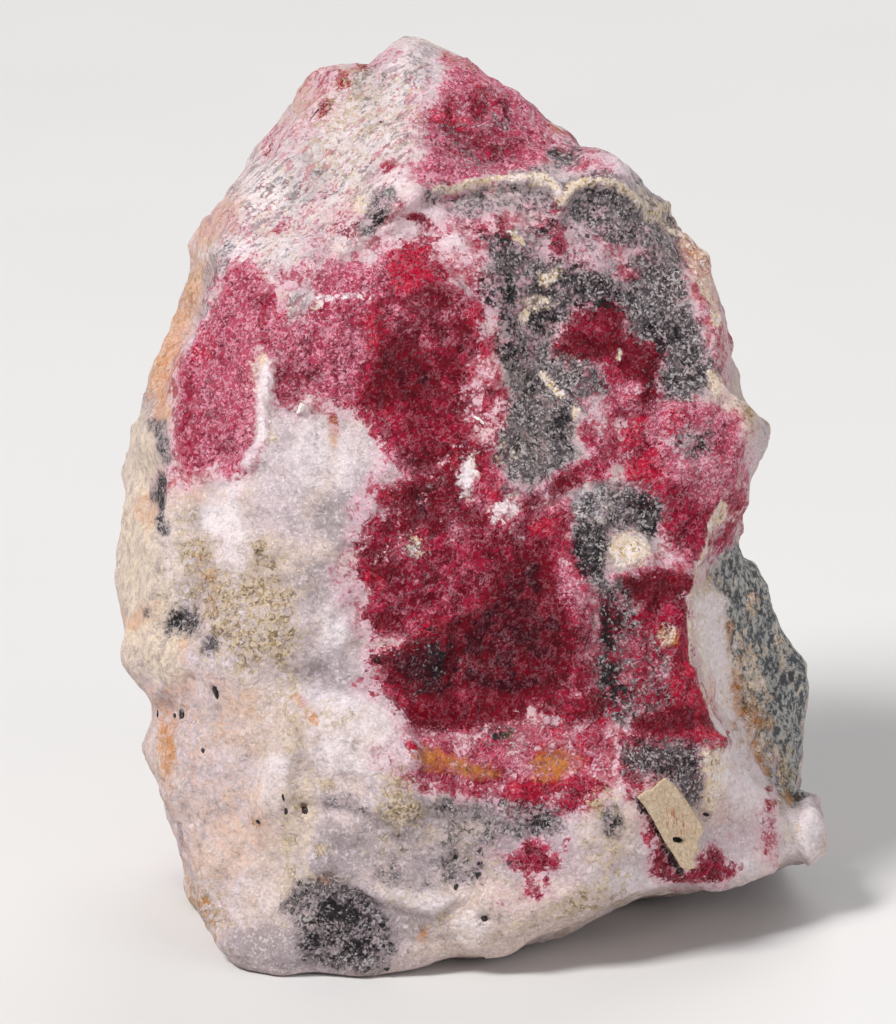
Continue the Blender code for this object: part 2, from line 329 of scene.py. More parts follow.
@dataclass(frozen=True)
class Vein:
    """A patch along a line, so many units to each side of it."""

    line: tuple[Point, ...]
    half: float
    fill: float = SOLID

    def depth(self, spots: np.ndarray) -> np.ndarray:
        """How far inside the vein each spot lies, in millimetres, below zero outside it."""
        nearest = np.full(len(spots), np.inf)
        for start, end in zip(self.line, self.line[1:]):
            nearest = np.minimum(nearest, apart(spots, start, end))
        return np.minimum((self.half - nearest) * Board.unit * keen(self.half), self.fill)


Patch = Union[Area, Oval, Vein]


def area(fill: float, *path: float) -> Area:
    """A patch inside an outline given as x, y, x, y and so on."""
    return Area(tuple(zip(path[::2], path[1::2])), fill)


def vein(fill: float, half: float, *path: float) -> Vein:
    """A patch along a line given as x, y, x, y and so on, half as wide as it says to each side."""
    return Vein(tuple(zip(path[::2], path[1::2])), half, fill)


def ovals(fill: float, *rows: tuple[float, ...]) -> tuple[Oval, ...]:
    """Ovals of one fill, each a row of x, y, half its width, half its height and, where it is turned, its turn."""
    return tuple(Oval((x, y), (wide, high), *turn, fill=fill) for x, y, wide, high, *turn in rows)


# The minerals of the face, each lying over the ones before it. A bare fill lies between two of the named ones.

FACE: dict[Mineral, tuple[Patch, ...]] = {
    Mineral.RED: (
        area(SOLID, 228, 262, 240, 258, 253, 260, 266, 272, 268, 300, 264, 330, 256, 352, 250, 380, 252, 433,
            247, 450, 240, 470, 232, 482, 224, 470, 216, 462, 205, 479, 193, 474, 184, 461, 177, 443, 175, 406,
            180, 365, 190, 348, 201, 338, 210, 322, 219, 291),
        area(SOLID, 276, 306, 290, 326, 304, 320, 314, 296, 318, 275, 333, 264, 352, 262, 371, 262, 386, 254,
            402, 242, 430, 243, 438, 256, 446, 268, 456, 285, 466, 294, 476, 300, 484, 306, 485, 316, 478, 326,
            486, 338, 492, 344, 483, 360, 476, 372, 468, 386, 464, 400, 456, 412, 470, 425, 468, 445, 455, 455,
            440, 466, 425, 478, 405, 476, 390, 462, 396, 452, 380, 439, 356, 410, 342, 399, 334, 401, 328, 395,
            317, 393, 306, 395, 297, 404, 283, 401, 277, 402, 275, 380, 274, 340),
        area(MOST, 254, 290, 274, 286, 278, 354, 256, 355),
        area(SOME, 436, 244, 470, 240, 488, 262, 492, 300, 470, 300, 452, 280),
        area(HALF, 455, 400, 480, 385, 505, 392, 508, 430, 498, 460, 470, 445, 458, 430),
        area(MOST, 392, 462, 425, 470, 450, 452, 462, 436, 478, 440, 498, 446, 505, 470, 520, 496, 545, 505, 572, 492,
            578, 510, 566, 536, 560, 570, 352, 567, 361, 544, 366, 520, 382, 512, 372, 491, 395, 484, 405, 475),
        area(SOLID, 540, 505, 545, 480, 565, 462, 590, 452, 606, 470, 600, 485, 586, 488, 560, 498),
        area(SOLID, 352, 560, 372, 603, 367, 619, 370, 635, 390, 641, 394, 646, 377, 654, 380, 664, 380, 672,
            380, 689, 392, 706, 400, 722, 413, 737, 425, 732, 454, 737, 470, 732, 484, 732, 501, 730, 512, 722,
            530, 714, 545, 716, 561, 706, 590, 700, 598, 668, 592, 642, 579, 608, 566, 590, 562, 560, 540, 530),
        area(SOLID, 545, 700, 575, 688, 600, 690, 618, 700, 632, 716, 614, 728, 590, 724, 565, 728),
        area(HALF, 418, 738, 460, 738, 500, 732, 540, 728, 600, 724, 612, 745, 600, 790, 594, 806, 560, 812, 500, 800,
            440, 790, 418, 784, 416, 764),
        area(SOLID, 504, 778, 530, 776, 558, 776, 575, 772, 594, 779, 593, 796, 580, 812, 560, 796, 541, 812,
            512, 811),
        area(0.6, 518, 846, 530, 842, 542, 847, 548, 856, 557, 858, 555, 866, 545, 869, 535, 871, 533, 882, 534, 892,
            527, 892, 528, 880, 524, 870, 510, 866, 508, 859, 518, 857),
        area(SOLID, 574, 311, 586, 305, 612, 303, 628, 307, 629, 322, 628, 338, 642, 342, 658, 347, 663, 366,
            656, 382, 643, 388, 630, 384, 608, 374, 604, 366, 588, 371, 568, 367, 556, 356, 555, 340, 564, 322),
        area(MOST, 575, 374, 598, 370, 625, 384, 640, 396, 630, 410, 612, 408, 590, 392),
        area(-0.8, 496, 236, 520, 210, 566, 206, 640, 236, 690, 290, 640, 280, 560, 270, 516, 275),
        area(SOLID, 663, 401, 676, 398, 684, 408, 686, 432, 674, 438, 664, 425),
        area(SOLID, 618, 420, 634, 416, 644, 430, 668, 436, 678, 450, 676, 470, 690, 472, 700, 500, 722, 508,
            716, 532, 705, 556, 692, 572, 684, 560, 672, 535, 664, 505, 655, 494, 632, 490, 625, 470, 634, 452,
            620, 440),
        area(MOST, 600, 396, 636, 392, 664, 398, 700, 404, 738, 420, 738, 458, 716, 462, 700, 430, 676, 440, 640, 426,
            612, 424),
        area(HALF, 698, 404, 736, 418, 742, 460, 736, 500, 728, 540, 714, 545, 702, 500, 688, 470),
        area(SOLID, 612, 574, 632, 570, 660, 572, 690, 572, 694, 584, 686, 599, 692, 607, 690, 631, 690, 655,
            694, 667, 701, 698, 704, 711, 713, 727, 723, 750, 700, 748, 672, 743, 645, 737, 628, 724, 632, 712,
            660, 706, 664, 690, 664, 650, 652, 636, 634, 630, 626, 612, 624, 594),
        area(HALF, 600, 690, 640, 690, 668, 700, 660, 722, 630, 726, 604, 716),
        area(MOST, 600, 586, 626, 600, 640, 628, 668, 636, 670, 704, 640, 708, 604, 700, 596, 660, 598, 620),
        area(HALF, 545, 515, 562, 510, 572, 530, 574, 560, 590, 580, 596, 610, 590, 640, 575, 600, 560, 570),
        area(SOLID, 641, 800, 650, 815, 662, 845, 672, 868, 680, 872, 698, 868, 702, 850, 714, 846, 728, 862,
            731, 873, 712, 877, 690, 882, 670, 882, 658, 874, 652, 858, 656, 845, 645, 828),
        area(HALF, 622, 736, 650, 733, 690, 746, 702, 770, 690, 790, 680, 770, 660, 770, 640, 792, 626, 790),
        area(1, 444, 52, 470, 62, 482, 77, 497, 87, 514, 98, 530, 116, 544, 126, 550, 140, 544, 158, 542, 170,
            522, 172, 492, 177, 471, 184, 446, 188, 432, 188, 420, 182, 418, 165, 428, 138, 441, 108, 446, 90,
            450, 68),
        area(MOST, 450, 50, 470, 52, 500, 76, 530, 100, 548, 126, 500, 100, 470, 74),
        area(FEW, 540, 118, 576, 132, 618, 160, 618, 176, 590, 168, 550, 140),
        vein(HALF, 3.5, 334, 412, 336, 434),
        *ovals(SOLID, (414, 781, 8, 6), (446, 783, 4, 5), (480, 779, 9, 4, 20), (410, 745, 9, 5, 30),
            (542, 880, 3.5, 4), (534, 498, 20, 12, -20), (652, 352, 14, 14), (622, 374, 26, 12, 10), (718, 452, 8, 7),
            (632, 431, 11, 14), (507, 142, 14, 26, -15), (361, 64, 8, 5), (343, 84, 6, 8, 20)),
        *ovals(MOST, (606, 452, 16, 20), (384, 500, 10, 14), (652, 398, 18, 11), (594, 281, 14, 7, 10),
            (503, 228, 9, 16, -8), (560, 207, 7, 5), (592, 440, 12, 8, 60), (690, 520, 30, 24, 20),
            (632, 764, 10, 28), (434, 144, 14, 24, 10), (327, 112, 6, 9, 10), (389, 166, 8, 6),
            (356, 228, 4, 12, 25)),
        *ovals(HALF, (560, 752, 30, 22), (568, 844, 3, 7, 10), (627, 271, 12, 8), (554, 238, 13, 18, -20),
            (765, 803, 4.5, 9), (440, 168, 20, 10, 10), (418, 221, 13, 5, 25), (372, 697, 5, 4)),
        *ovals(SOME, (604, 404, 24, 10, 15), (620, 508, 26, 16), (773, 836, 7, 13), (768, 858, 4, 8),
            (552, 168, 16, 9, 25), (592, 170, 14, 7, 20), (476, 222, 12, 14), (318, 198, 16, 4, -40),
            (290, 218, 15, 4, -45), (281, 140, 13, 8, -50), (344, 232, 8, 9, 20), (375, 690, 16, 9),
            (378, 762, 7, 6)),
        *ovals(FEW, (440, 205, 22, 8, -10), (238, 218, 18, 9, -20), (230, 244, 20, 6, -35)),
    ),
    Mineral.DEEP: (
        area(HALF, 374, 300, 395, 296, 430, 290, 462, 300, 470, 332, 470, 348, 458, 385, 455, 408, 361, 408, 368, 380,
            376, 350, 378, 325),
        area(1, 378, 342, 400, 344, 430, 352, 446, 380, 448, 404, 362, 405, 370, 372),
        area(HALF, 398, 398, 452, 400, 462, 420, 455, 445, 440, 468, 420, 476, 404, 470, 398, 450, 410, 430),
        area(HALF, 395, 480, 440, 470, 462, 460, 462, 500, 440, 530, 400, 540, 380, 530),
        area(1.3, 500, 560, 546, 546, 554, 596, 576, 628, 582, 648, 560, 690, 520, 704, 480, 700, 454, 690, 452, 620,
            480, 600),
        area(SOME, 380, 470, 500, 470, 560, 520, 560, 580, 470, 620, 400, 640, 372, 600, 356, 560),
        # partly painted shade: near-black over the recessed facet that is turned away from the light, on its own maroon
        area(SOLID, 380, 652, 410, 640, 447, 620, 459, 640, 455, 704, 440, 706, 418, 698, 394, 684, 382, 668),
        area(MOST, 402, 700, 450, 700, 500, 704, 500, 726, 455, 732, 410, 730),
        area(SOLID, 400, 482, 440, 476, 443, 530, 402, 532),
        area(1.2, 358, 548, 392, 540, 400, 575, 372, 582),
        area(MOST, 560, 335, 600, 330, 628, 340, 628, 350, 600, 356, 586, 368, 566, 364, 557, 350),
        area(HALF, 450, 700, 560, 696, 600, 700, 600, 722, 540, 728, 460, 730),
        area(-0.1, 440, 110, 470, 88, 500, 98, 520, 150, 480, 160, 450, 148),
        area(MOST, 614, 574, 690, 574, 690, 602, 650, 600, 626, 596),
        *ovals(SOLID, (430, 690, 24, 12), (704, 566, 8, 6), (528, 850, 7, 6)),
        *ovals(1.2, (460, 408, 8, 16, 10)),
        *ovals(MOST, (430, 300, 26, 7, 6), (428, 460, 16, 11, -30), (472, 518, 20, 12, 10), (650, 394, 12, 10),
            (385, 624, 17, 9), (638, 362, 26, 18, 10), (534, 500, 17, 10, -20), (640, 590, 30, 14, 10),
            (660, 720, 44, 12, 4), (560, 486, 22, 10, -20), (655, 840, 5, 24, -24)),
        *ovals(HALF, (456, 338, 10, 11), (620, 320, 34, 14, 20), (480, 112, 10, 18, 20), (290, 380, 18, 26),
            (700, 872, 18, 8), (600, 650, 24, 60), (418, 221, 9, 4, 25)),
        *ovals(SOME, (690, 500, 14, 28, -20), (545, 786, 44, 15)),
        *ovals(FEW, (560, 540, 10, 16, -10), (520, 150, 12, 14), (228, 430, 12, 16, 20)),
    ),
    Mineral.VIVID: (
        area(SOLID, 386, 250, 402, 243, 430, 246, 436, 256, 420, 262, 432, 274, 428, 284, 410, 290, 398, 284,
            390, 268),
        area(SOLID, 412, 641, 424, 626, 447, 620, 436, 632),
        area(FEW, 406, 720, 430, 716, 450, 716, 470, 712, 500, 712, 486, 730, 455, 736, 412, 736),
        *ovals(SOLID, (472, 309, 12, 9, 10), (476, 366, 5, 16, 20), (384, 496, 13, 9, 10), (674, 416, 10, 18),
            (644, 470, 16, 16), (560, 718, 12, 8), (700, 736, 20, 8, 30), (412, 744, 8, 5, 30), (542, 526, 10, 10)),
        *ovals(MOST, (374, 578, 9, 14), (634, 432, 12, 12), (682, 585, 10, 12), (448, 460, 9, 20)),
        *ovals(HALF, (374, 330, 8, 20, 10), (376, 410, 14, 5), (474, 318, 9, 14), (545, 790, 34, 12),
            (686, 690, 12, 34, -8), (486, 96, 12, 8, 20), (452, 120, 10, 10), (205, 345, 12, 12), (572, 720, 22, 8),
            (560, 745, 22, 20)),
        *ovals(SOME, (380, 300, 10, 40, 5), (296, 312, 14, 8), (490, 470, 10, 20)),
    ),
    Mineral.FROST: (
        area(MOST, 380, 290, 470, 300, 468, 340, 440, 352, 400, 340, 380, 320),
        area(1.3, 402, 136, 470, 128, 500, 166, 480, 192, 404, 196),
        area(SOLID, 316, 256, 388, 246, 394, 300, 352, 318, 316, 316),
        area(1, 184, 410, 262, 410, 256, 460, 232, 484, 190, 478),
        area(1.2, 266, 300, 330, 300, 375, 330, 360, 400, 300, 404, 268, 400),
        area(1.3, 184, 340, 216, 300, 224, 262, 262, 262, 262, 400, 240, 430, 184, 420),
        area(HALF, 450, 490, 500, 460, 530, 500, 500, 530, 450, 530),
        area(HALF, 380, 580, 470, 560, 500, 590, 440, 620, 400, 640),
        area(HALF, 540, 600, 600, 600, 640, 650, 620, 690, 560, 690),
        area(SOME, 400, 735, 600, 735, 600, 770, 400, 770),
        area(1.3, 484, 158, 550, 138, 600, 176, 540, 176, 490, 184),
        *ovals(SOLID, (564, 594, 16, 26, -12), (542, 140, 30, 18, 30)),
        *ovals(1.3, (402, 462, 13, 14), (594, 162, 32, 14, 30)),
        *ovals(MOST, (520, 90, 80, 60), (700, 440, 50, 60), (650, 560, 60, 10), (600, 396, 34, 18)),
        *ovals(HALF, (430, 680, 32, 20), (480, 640, 30, 8), (560, 470, 60, 40)),
    ),
    Mineral.PINK: (
        area(SOLID, 384, 205, 410, 195, 440, 195, 470, 212, 500, 210, 530, 210, 520, 240, 500, 262, 486, 280,
            500, 300, 504, 330, 500, 400, 484, 420, 466, 420, 476, 380, 492, 350, 486, 310, 464, 290, 445, 262,
            434, 240, 400, 238, 376, 250, 350, 254, 330, 258, 318, 270, 310, 292, 290, 294, 272, 296, 270, 278,
            300, 262, 330, 250, 364, 236),
        area(SOLID, 396, 736, 410, 700, 440, 738, 500, 734, 560, 716, 640, 722, 632, 760, 612, 800, 600, 815,
            520, 816, 440, 795, 400, 790, 380, 770, 372, 750),
        area(SOME, 500, 212, 560, 200, 640, 250, 700, 300, 716, 360, 745, 420, 736, 510, 706, 560, 690, 600, 640, 570,
            600, 560, 620, 500, 560, 480, 580, 420, 570, 360, 560, 300, 520, 250),
        area(SOME, 726, 742, 740, 756, 772, 800, 764, 806, 736, 772, 722, 752),
        vein(HALF, 11, 404, 740, 398, 715, 378, 690, 372, 640, 352, 612, 342, 570, 354, 540, 364, 500, 388, 466),
        vein(HALF, 6, 250, 470, 262, 420, 266, 380),
        vein(HALF, 8, 240, 480, 214, 472, 190, 484),
        vein(HALF, 4, 724, 506, 709, 556, 694, 584, 690, 598, 695, 610, 693, 655, 700, 690, 716, 726),
        *ovals(SOLID, (706, 310, 12, 36, -10), (768, 832, 12, 40, -6), (326, 404, 34, 12, 10), (300, 700, 5, 5),
            (572, 152, 50, 22, 32), (670, 564, 30, 9, 10)),
        *ovals(MOST, (640, 420, 60, 30), (697, 256, 12, 40, -25), (460, 250, 30, 40), (480, 400, 24, 60),
            (320, 104, 18, 40, 25), (420, 120, 14, 40, 15), (178, 478, 20, 14, -20), (735, 440, 14, 28),
            (715, 340, 12, 60, -5), (626, 250, 40, 18, 30)),
        *ovals(HALF, (530, 290, 44, 70), (632, 760, 30, 40), (285, 140, 22, 18, -50), (335, 232, 30, 20, -30),
            (380, 60, 22, 16), (395, 176, 22, 14), (625, 700, 34, 30), (570, 240, 70, 30, 10)),
        *ovals(SOME, (538, 400, 34, 50), (240, 218, 26, 16, -20), (235, 262, 34, 14, 20), (420, 470, 30, 12),
            (530, 865, 48, 42), (745, 800, 40, 60)),
        *ovals(FEW, (262, 300, 8, 30), (580, 850, 40, 50)),
    ),
    Mineral.GREY: (
        area(-0.15, 425, 196, 447, 190, 471, 189, 492, 182, 522, 177, 542, 174, 557, 184, 562, 197, 550, 206,
            530, 206, 508, 202, 486, 208, 466, 214, 452, 208),
        area(0.4, 563, 200, 570, 192, 582, 182, 601, 180, 616, 183, 639, 197, 658, 190, 672, 204, 682, 226, 690, 262,
            680, 272, 668, 258, 644, 250, 610, 246, 590, 232, 572, 214),
        area(MOST, 640, 246, 680, 256, 690, 280, 698, 312, 706, 340, 712, 368, 702, 392, 686, 400, 665, 396, 662, 366,
            660, 347, 640, 340, 630, 330, 630, 306, 612, 300, 590, 302, 574, 308, 566, 296, 590, 290, 612, 284,
            640, 276, 630, 262),
        area(-0.4, 562, 205, 600, 235, 650, 262, 640, 300, 590, 300, 560, 280, 520, 262, 512, 220),
        area(0.4, 484, 240, 500, 236, 520, 246, 552, 262, 566, 290, 572, 312, 556, 330, 556, 345, 572, 362, 596, 372,
            606, 390, 590, 400, 576, 418, 576, 450, 560, 470, 540, 486, 516, 482, 500, 462, 496, 440, 508, 420,
            516, 396, 507, 378, 503, 350, 505, 320, 490, 306, 488, 280, 494, 262),
        area(MOST, 574, 495, 600, 486, 626, 486, 650, 490, 664, 506, 664, 530, 652, 536, 634, 528, 618, 528, 606, 540,
            604, 568, 608, 590, 596, 590, 576, 570, 574, 540),
        area(HALF, 604, 590, 626, 586, 634, 616, 632, 646, 636, 670, 632, 700, 622, 722, 604, 716, 598, 690, 602, 650,
            600, 620),
        area(MOST, 655, 742, 700, 748, 708, 762, 704, 800, 690, 812, 680, 800, 672, 780, 650, 770, 625, 770,
            622, 745),
        area(-0.2, 600, 600, 636, 632, 664, 644, 668, 700, 610, 716),
        area(-0.2, 428, 812, 448, 808, 480, 818, 492, 828, 484, 846, 480, 874, 458, 876, 438, 872, 432, 852, 452, 842,
            462, 832, 436, 826),
        area(0.2, 440, 806, 500, 804, 560, 812, 562, 832, 520, 838, 460, 822),
        area(0.3, 282, 902, 296, 884, 330, 880, 364, 892, 388, 920, 397, 950, 382, 976, 352, 974, 330, 968, 304, 962,
            298, 936, 290, 916),
        vein(HALF, 7, 362, 230, 378, 212, 390, 200),
        vein(-0.3, 6, 226, 246, 216, 275, 206, 318),
        vein(HALF, 6, 154, 424, 164, 444, 170, 460),
        vein(MOST, 4.5, 160, 478, 156, 498, 166, 530),
        *ovals(SOLID, (209, 645, 6, 8)),
        *ovals(MOST, (572, 288, 46, 22), (180, 622, 15, 14), (564, 160, 17, 13, 10)),
        *ovals(HALF, (530, 240, 20, 13), (520, 486, 17, 9, -20), (386, 876, 12, 10), (528, 828, 26, 8),
            (612, 824, 8, 16, -15), (150, 612, 6, 5), (415, 545, 10, 9)),
        *ovals(-0.2, (696, 440, 18, 18)),
        *ovals(SOME, (708, 470, 12, 12), (500, 740, 18, 9), (404, 820, 24, 16, 20), (360, 806, 34, 7, 12),
            (410, 868, 24, 14), (370, 84, 11, 15, 20), (317, 186, 8, 13, 20), (488, 118, 20, 22, 10),
            (470, 150, 34, 14, 10)),
        *ovals(FEW, (400, 850, 30, 30), (295, 168, 14, 22, -20), (287, 278, 12, 18, 40), (534, 138, 24, 12, 30),
            (330, 145, 40, 60, 30), (290, 262, 40, 30, -40), (760, 848, 10, 30, 30), (428, 520, 22, 30, 20),
            (412, 570, 16, 26), (520, 845, 60, 30), (338, 860, 40, 60), (600, 730, 24, 40)),
    ),
    Mineral.BLACK: (
        area(SOME, 512, 330, 552, 326, 556, 345, 550, 370, 562, 395, 556, 416, 524, 412, 514, 390, 522, 370,
            510, 350),
        area(-0.15, 576, 530, 596, 524, 602, 545, 596, 572, 580, 572, 574, 552),
        area(HALF, 626, 492, 646, 490, 660, 508, 658, 530, 644, 528, 636, 514),
        area(SOME, 300, 905, 322, 896, 350, 904, 384, 925, 388, 942, 372, 958, 345, 958, 314, 946),
        # partly painted shadow: a dark line just under the cream lip of the upper ledge, among dark grains
        vein(SOME, 3, 430, 197, 460, 193, 484, 190),
        vein(HALF, 2.5, 486, 830, 480, 848, 476, 872),
        # painted shadow: a dark line along the left edge of the cream crystal, where it stands proud of the face
        vein(MOST, 3, 636, 800, 644, 812, 654, 828, 664, 846, 674, 860, 682, 873),
        vein(HALF, 2, 157, 482, 156, 498, 165, 528),
        *ovals(MOST, (548, 322, 16, 20), (705, 446, 6, 8), (344, 914, 32, 12, 18)),
        *ovals(HALF, (500, 288, 12, 20), (580, 292, 38, 16), (503, 336, 6, 24), (560, 428, 9, 26), (545, 320, 14, 16),
            (662, 334, 14, 15), (612, 620, 9, 20), (614, 684, 10, 20), (560, 284, 26, 15), (322, 936, 14, 16, 20),
            (360, 950, 18, 7), (378, 926, 8, 7), (746, 702, 4, 6, -10), (377, 222, 5, 9, 40), (180, 622, 9, 8),
            (562, 156, 9, 6), (504, 736, 8, 4)),
        # partly painted shade: dark grains over the same recessed, turned-away facet
        *ovals(-0.25, (420, 662, 36, 28)),
        *ovals(SOME, (500, 250, 16, 12, 20), (528, 456, 20, 12), (506, 436, 12, 20), (588, 514, 7, 12),
            (534, 250, 24, 18), (536, 186, 18, 6), (588, 196, 12, 14, 20), (672, 372, 20, 14, -10),
            (300, 900, 10, 7, -20), (664, 758, 34, 14, 10), (470, 826, 14, 6, 20), (440, 816, 7, 5),
            (534, 826, 10, 4), (609, 822, 5, 9, -15), (262, 560, 5, 6, 20)),
        *ovals(-0.8, (598, 244, 50, 26, 10)),
        *ovals(FEW, (245, 658, 14, 5, 15), (180, 622, 16, 17)),
    ),
    Mineral.CREAM: (
        area(SOLID, 126, 410, 138, 400, 148, 425, 156, 450, 160, 474, 154, 500, 160, 540, 178, 600, 190, 640,
            178, 676, 156, 690, 130, 650, 112, 600, 112, 560, 120, 500),
        area(SOME, 168, 520, 186, 520, 190, 580, 196, 600, 182, 610, 168, 590, 164, 550),
        area(SOLID, 690, 590, 712, 574, 722, 590, 728, 640, 740, 690, 756, 735, 742, 748, 722, 726, 705, 700,
            694, 655),
        area(SOLID, 706, 752, 722, 752, 726, 770, 716, 792, 712, 812, 702, 814, 704, 790),
        area(MOST, 712, 376, 722, 372, 738, 392, 752, 404, 756, 420, 746, 440, 740, 470, 740, 506, 728, 520, 722, 508,
            732, 470, 738, 430, 722, 405),
        area(HALF, 706, 268, 716, 300, 722, 340, 724, 372, 714, 378, 708, 340, 698, 300, 694, 272),
        area(0.3, 724, 640, 748, 660, 768, 730, 770, 770, 754, 745, 736, 700),
        vein(HALF, 3, 742, 560, 736, 590),
        *ovals(SOLID, (362, 208, 6, 10, 25)),
        *ovals(MOST, (668, 636, 6, 8)),
        *ovals(HALF, (290, 720, 16, 30), (296, 850, 14, 60, 10), (790, 836, 6, 12)),
        *ovals(SOME, (396, 118, 30, 42, 30), (372, 140, 34, 46, 30), (380, 205, 16, 12, -30), (250, 690, 46, 60, 10),
            (410, 890, 30, 14), (590, 860, 18, 40, 10), (440, 930, 26, 12, -14)),
        *ovals(FEW, (296, 250, 26, 10, -45)),
    ),
    Mineral.CRUST: (
        area(SOLID, 541, 271, 550, 268, 560, 270, 558, 278, 548, 284, 541, 280),
        area(SOLID, 608, 558, 610, 545, 616, 534, 628, 528, 640, 532, 648, 542, 653, 553, 645, 560, 632, 562,
            618, 566),
        area(-0.1, 256, 364, 263, 352, 271, 364, 271, 386, 267, 402, 268, 418, 272, 436, 256, 436, 258, 410, 256, 394,
            253, 378),
        area(1, 460, 461, 474, 459, 479, 470, 473, 484, 469, 500, 462, 499, 460, 480),
        area(MOST, 697, 604, 712, 582, 722, 600, 728, 650, 736, 700, 742, 738, 726, 722, 710, 694, 701, 655),
        area(MOST, 704, 754, 722, 752, 724, 770, 714, 790, 710, 810, 702, 812, 704, 790),
        area(-0.2, 730, 632, 752, 655, 766, 700, 768, 750, 758, 748, 742, 700),
        vein(SOME, 4.5, 752, 696, 758, 738, 764, 782),
        vein(-0.8, 5, 770, 716, 782, 784),
        vein(FEW, 4, 788, 706, 792, 780),
        vein(-0.8, 3.5, 742, 590, 752, 640, 758, 680),
        vein(SOLID, 2.2, 431, 192, 471, 183, 492, 179, 522, 182, 542, 184, 556, 191, 565, 203, 574, 191, 590, 185,
            616, 186, 640, 202, 664, 212),
        vein(SOLID, 3, 545, 374, 552, 384, 562, 397),
        vein(HALF, 4, 664, 208, 684, 228, 698, 256, 710, 290, 718, 320),
        vein(HALF, 3, 778, 640, 782, 668),
        vein(HALF, 3, 310, 304, 320, 297, 345, 293, 372, 293),
        vein(SOME, 2.2, 540, 507, 562, 497, 590, 486),
        vein(MOST, 3, 709, 372, 716, 396),
        vein(MOST, 2, 722, 506, 709, 552, 694, 582, 688, 600, 693, 630, 692, 660, 701, 700, 718, 740),
        vein(HALF, 2, 655, 790, 668, 784, 680, 795),
        *ovals(SOLID, (633, 197, 26, 4.5, 27), (538, 184, 14, 4.5, 4), (619, 354, 2.5, 4.5), (574, 417, 3, 5, -20)),
        *ovals(MOST, (526, 315, 4, 7, 20), (517, 238, 8, 4, 30)),
        *ovals(HALF, (541, 301, 12, 8), (503, 510, 14, 9, -30), (664, 636, 7, 10), (315, 303, 8, 5, -20),
            (362, 208, 5, 9, 25), (713, 290, 5, 12, -20), (752, 602, 4, 8, 20)),
        *ovals(-0.35, (592, 502, 14, 14)),
        *ovals(SOME, (500, 181, 16, 3, -10), (414, 543, 13, 6, 30), (576, 440, 7, 17, 10), (784, 788, 8, 16, -20),
            (512, 452, 10, 10)),
        *ovals(-0.8, (527, 424, 16, 18)),
    ),
    Mineral.STREAK: (
        area(SOLID, 330, 70, 360, 58, 400, 50, 436, 60, 430, 110, 410, 170, 404, 212, 360, 252, 312, 300, 304, 330,
            276, 332, 268, 292, 226, 250, 196, 240, 214, 200, 250, 160, 290, 110),
    ),
    Mineral.OCHRE: (
        area(HALF, 382, 778, 400, 774, 410, 790, 404, 806, 390, 800),
        area(SOME, 384, 800, 410, 800, 440, 812, 470, 822, 490, 840, 486, 872, 470, 870, 464, 840, 430, 834, 400, 850,
            386, 830),
        area(0.5, 180, 540, 200, 536, 216, 560, 232, 596, 248, 566, 262, 542, 278, 560, 290, 600, 302, 640, 286, 668,
            262, 660, 240, 668, 214, 650, 202, 625, 186, 600),
        vein(HALF, 6, 606, 800, 616, 838, 612, 868, 600, 892, 574, 908),
        vein(HALF, 2.5, 714, 600, 718, 650),
        vein(HALF, 3, 724, 640, 730, 700),
        vein(SOME, 2, 704, 640, 712, 700),
        *ovals(SOLID, (508, 735, 6, 3)),
        *ovals(MOST, (570, 912, 9, 6, -10), (216, 590, 9, 24, -20), (262, 556, 8, 14, 20), (240, 650, 34, 12, 10),
            (278, 616, 20, 34, 10), (398, 808, 20, 18), (749, 412, 6, 10, 10)),
        *ovals(HALF, (586, 902, 28, 9, -12), (438, 920, 12, 5, -15), (606, 812, 12, 12), (282, 648, 10, 10, 40),
            (326, 785, 6, 6), (324, 850, 8, 5), (324, 884, 14, 8), (298, 804, 9, 9), (204, 914, 14, 26, -25),
            (543, 298, 9, 6), (784, 776, 6, 22), (706, 596, 5, 18, 12), (760, 745, 5, 20, -20)),
        *ovals(SOME, (614, 870, 8, 34, -8), (602, 860, 12, 40), (188, 528, 8, 14), (294, 745, 7, 18, -15),
            (334, 716, 14, 7, 20), (300, 104, 16, 8, -40), (288, 690, 12, 20), (206, 268, 8, 20, 25),
            (528, 925, 30, 5, -18), (336, 92, 12, 8, -30), (344, 124, 22, 44, 25), (290, 850, 7, 40)),
        *ovals(FEW, (402, 872, 30, 20), (392, 120, 14, 34, 20), (252, 740, 6, 40), (744, 766, 12, 24, -30),
            (790, 840, 9, 18)),
    ),
    Mineral.AMBER: (
        vein(HALF, 3, 726, 620, 730, 660),
        vein(MOST, 4, 752, 730, 762, 762),
        vein(HALF, 3.5, 744, 735, 758, 756, 764, 772),
        vein(SOME, 3, 294, 698, 304, 706, 313, 720),
        *ovals(SOLID, (738, 686, 10, 22), (748, 719, 15, 23, -8)),
        *ovals(MOST, (428, 758, 12, 9, 30), (466, 767, 20, 7, 14), (554, 764, 17, 12, -10), (734, 724, 9, 9),
            (421, 936, 5, 7)),
        *ovals(HALF, (167, 745, 5, 28, -4), (258, 822, 4, 4), (559, 128, 9, 4, 40), (695, 252, 5, 18, -25),
            (549, 286, 7, 4), (334, 430, 4, 11), (326, 884, 7, 5), (790, 795, 5, 6), (668, 640, 5, 6)),
        *ovals(SOME, (178, 312, 9, 24, 20), (170, 360, 8, 30, 10), (460, 54, 16, 5, 30), (355, 64, 8, 4),
            (753, 604, 5, 7), (202, 908, 7, 20, -25), (208, 582, 5, 18, -15)),
    ),
    Mineral.RUST: (
        area(MOST, 196, 250, 208, 262, 206, 290, 194, 318, 182, 340, 178, 370, 172, 406, 170, 430, 156, 424, 148, 400,
            147, 375, 160, 340, 178, 310, 190, 280),
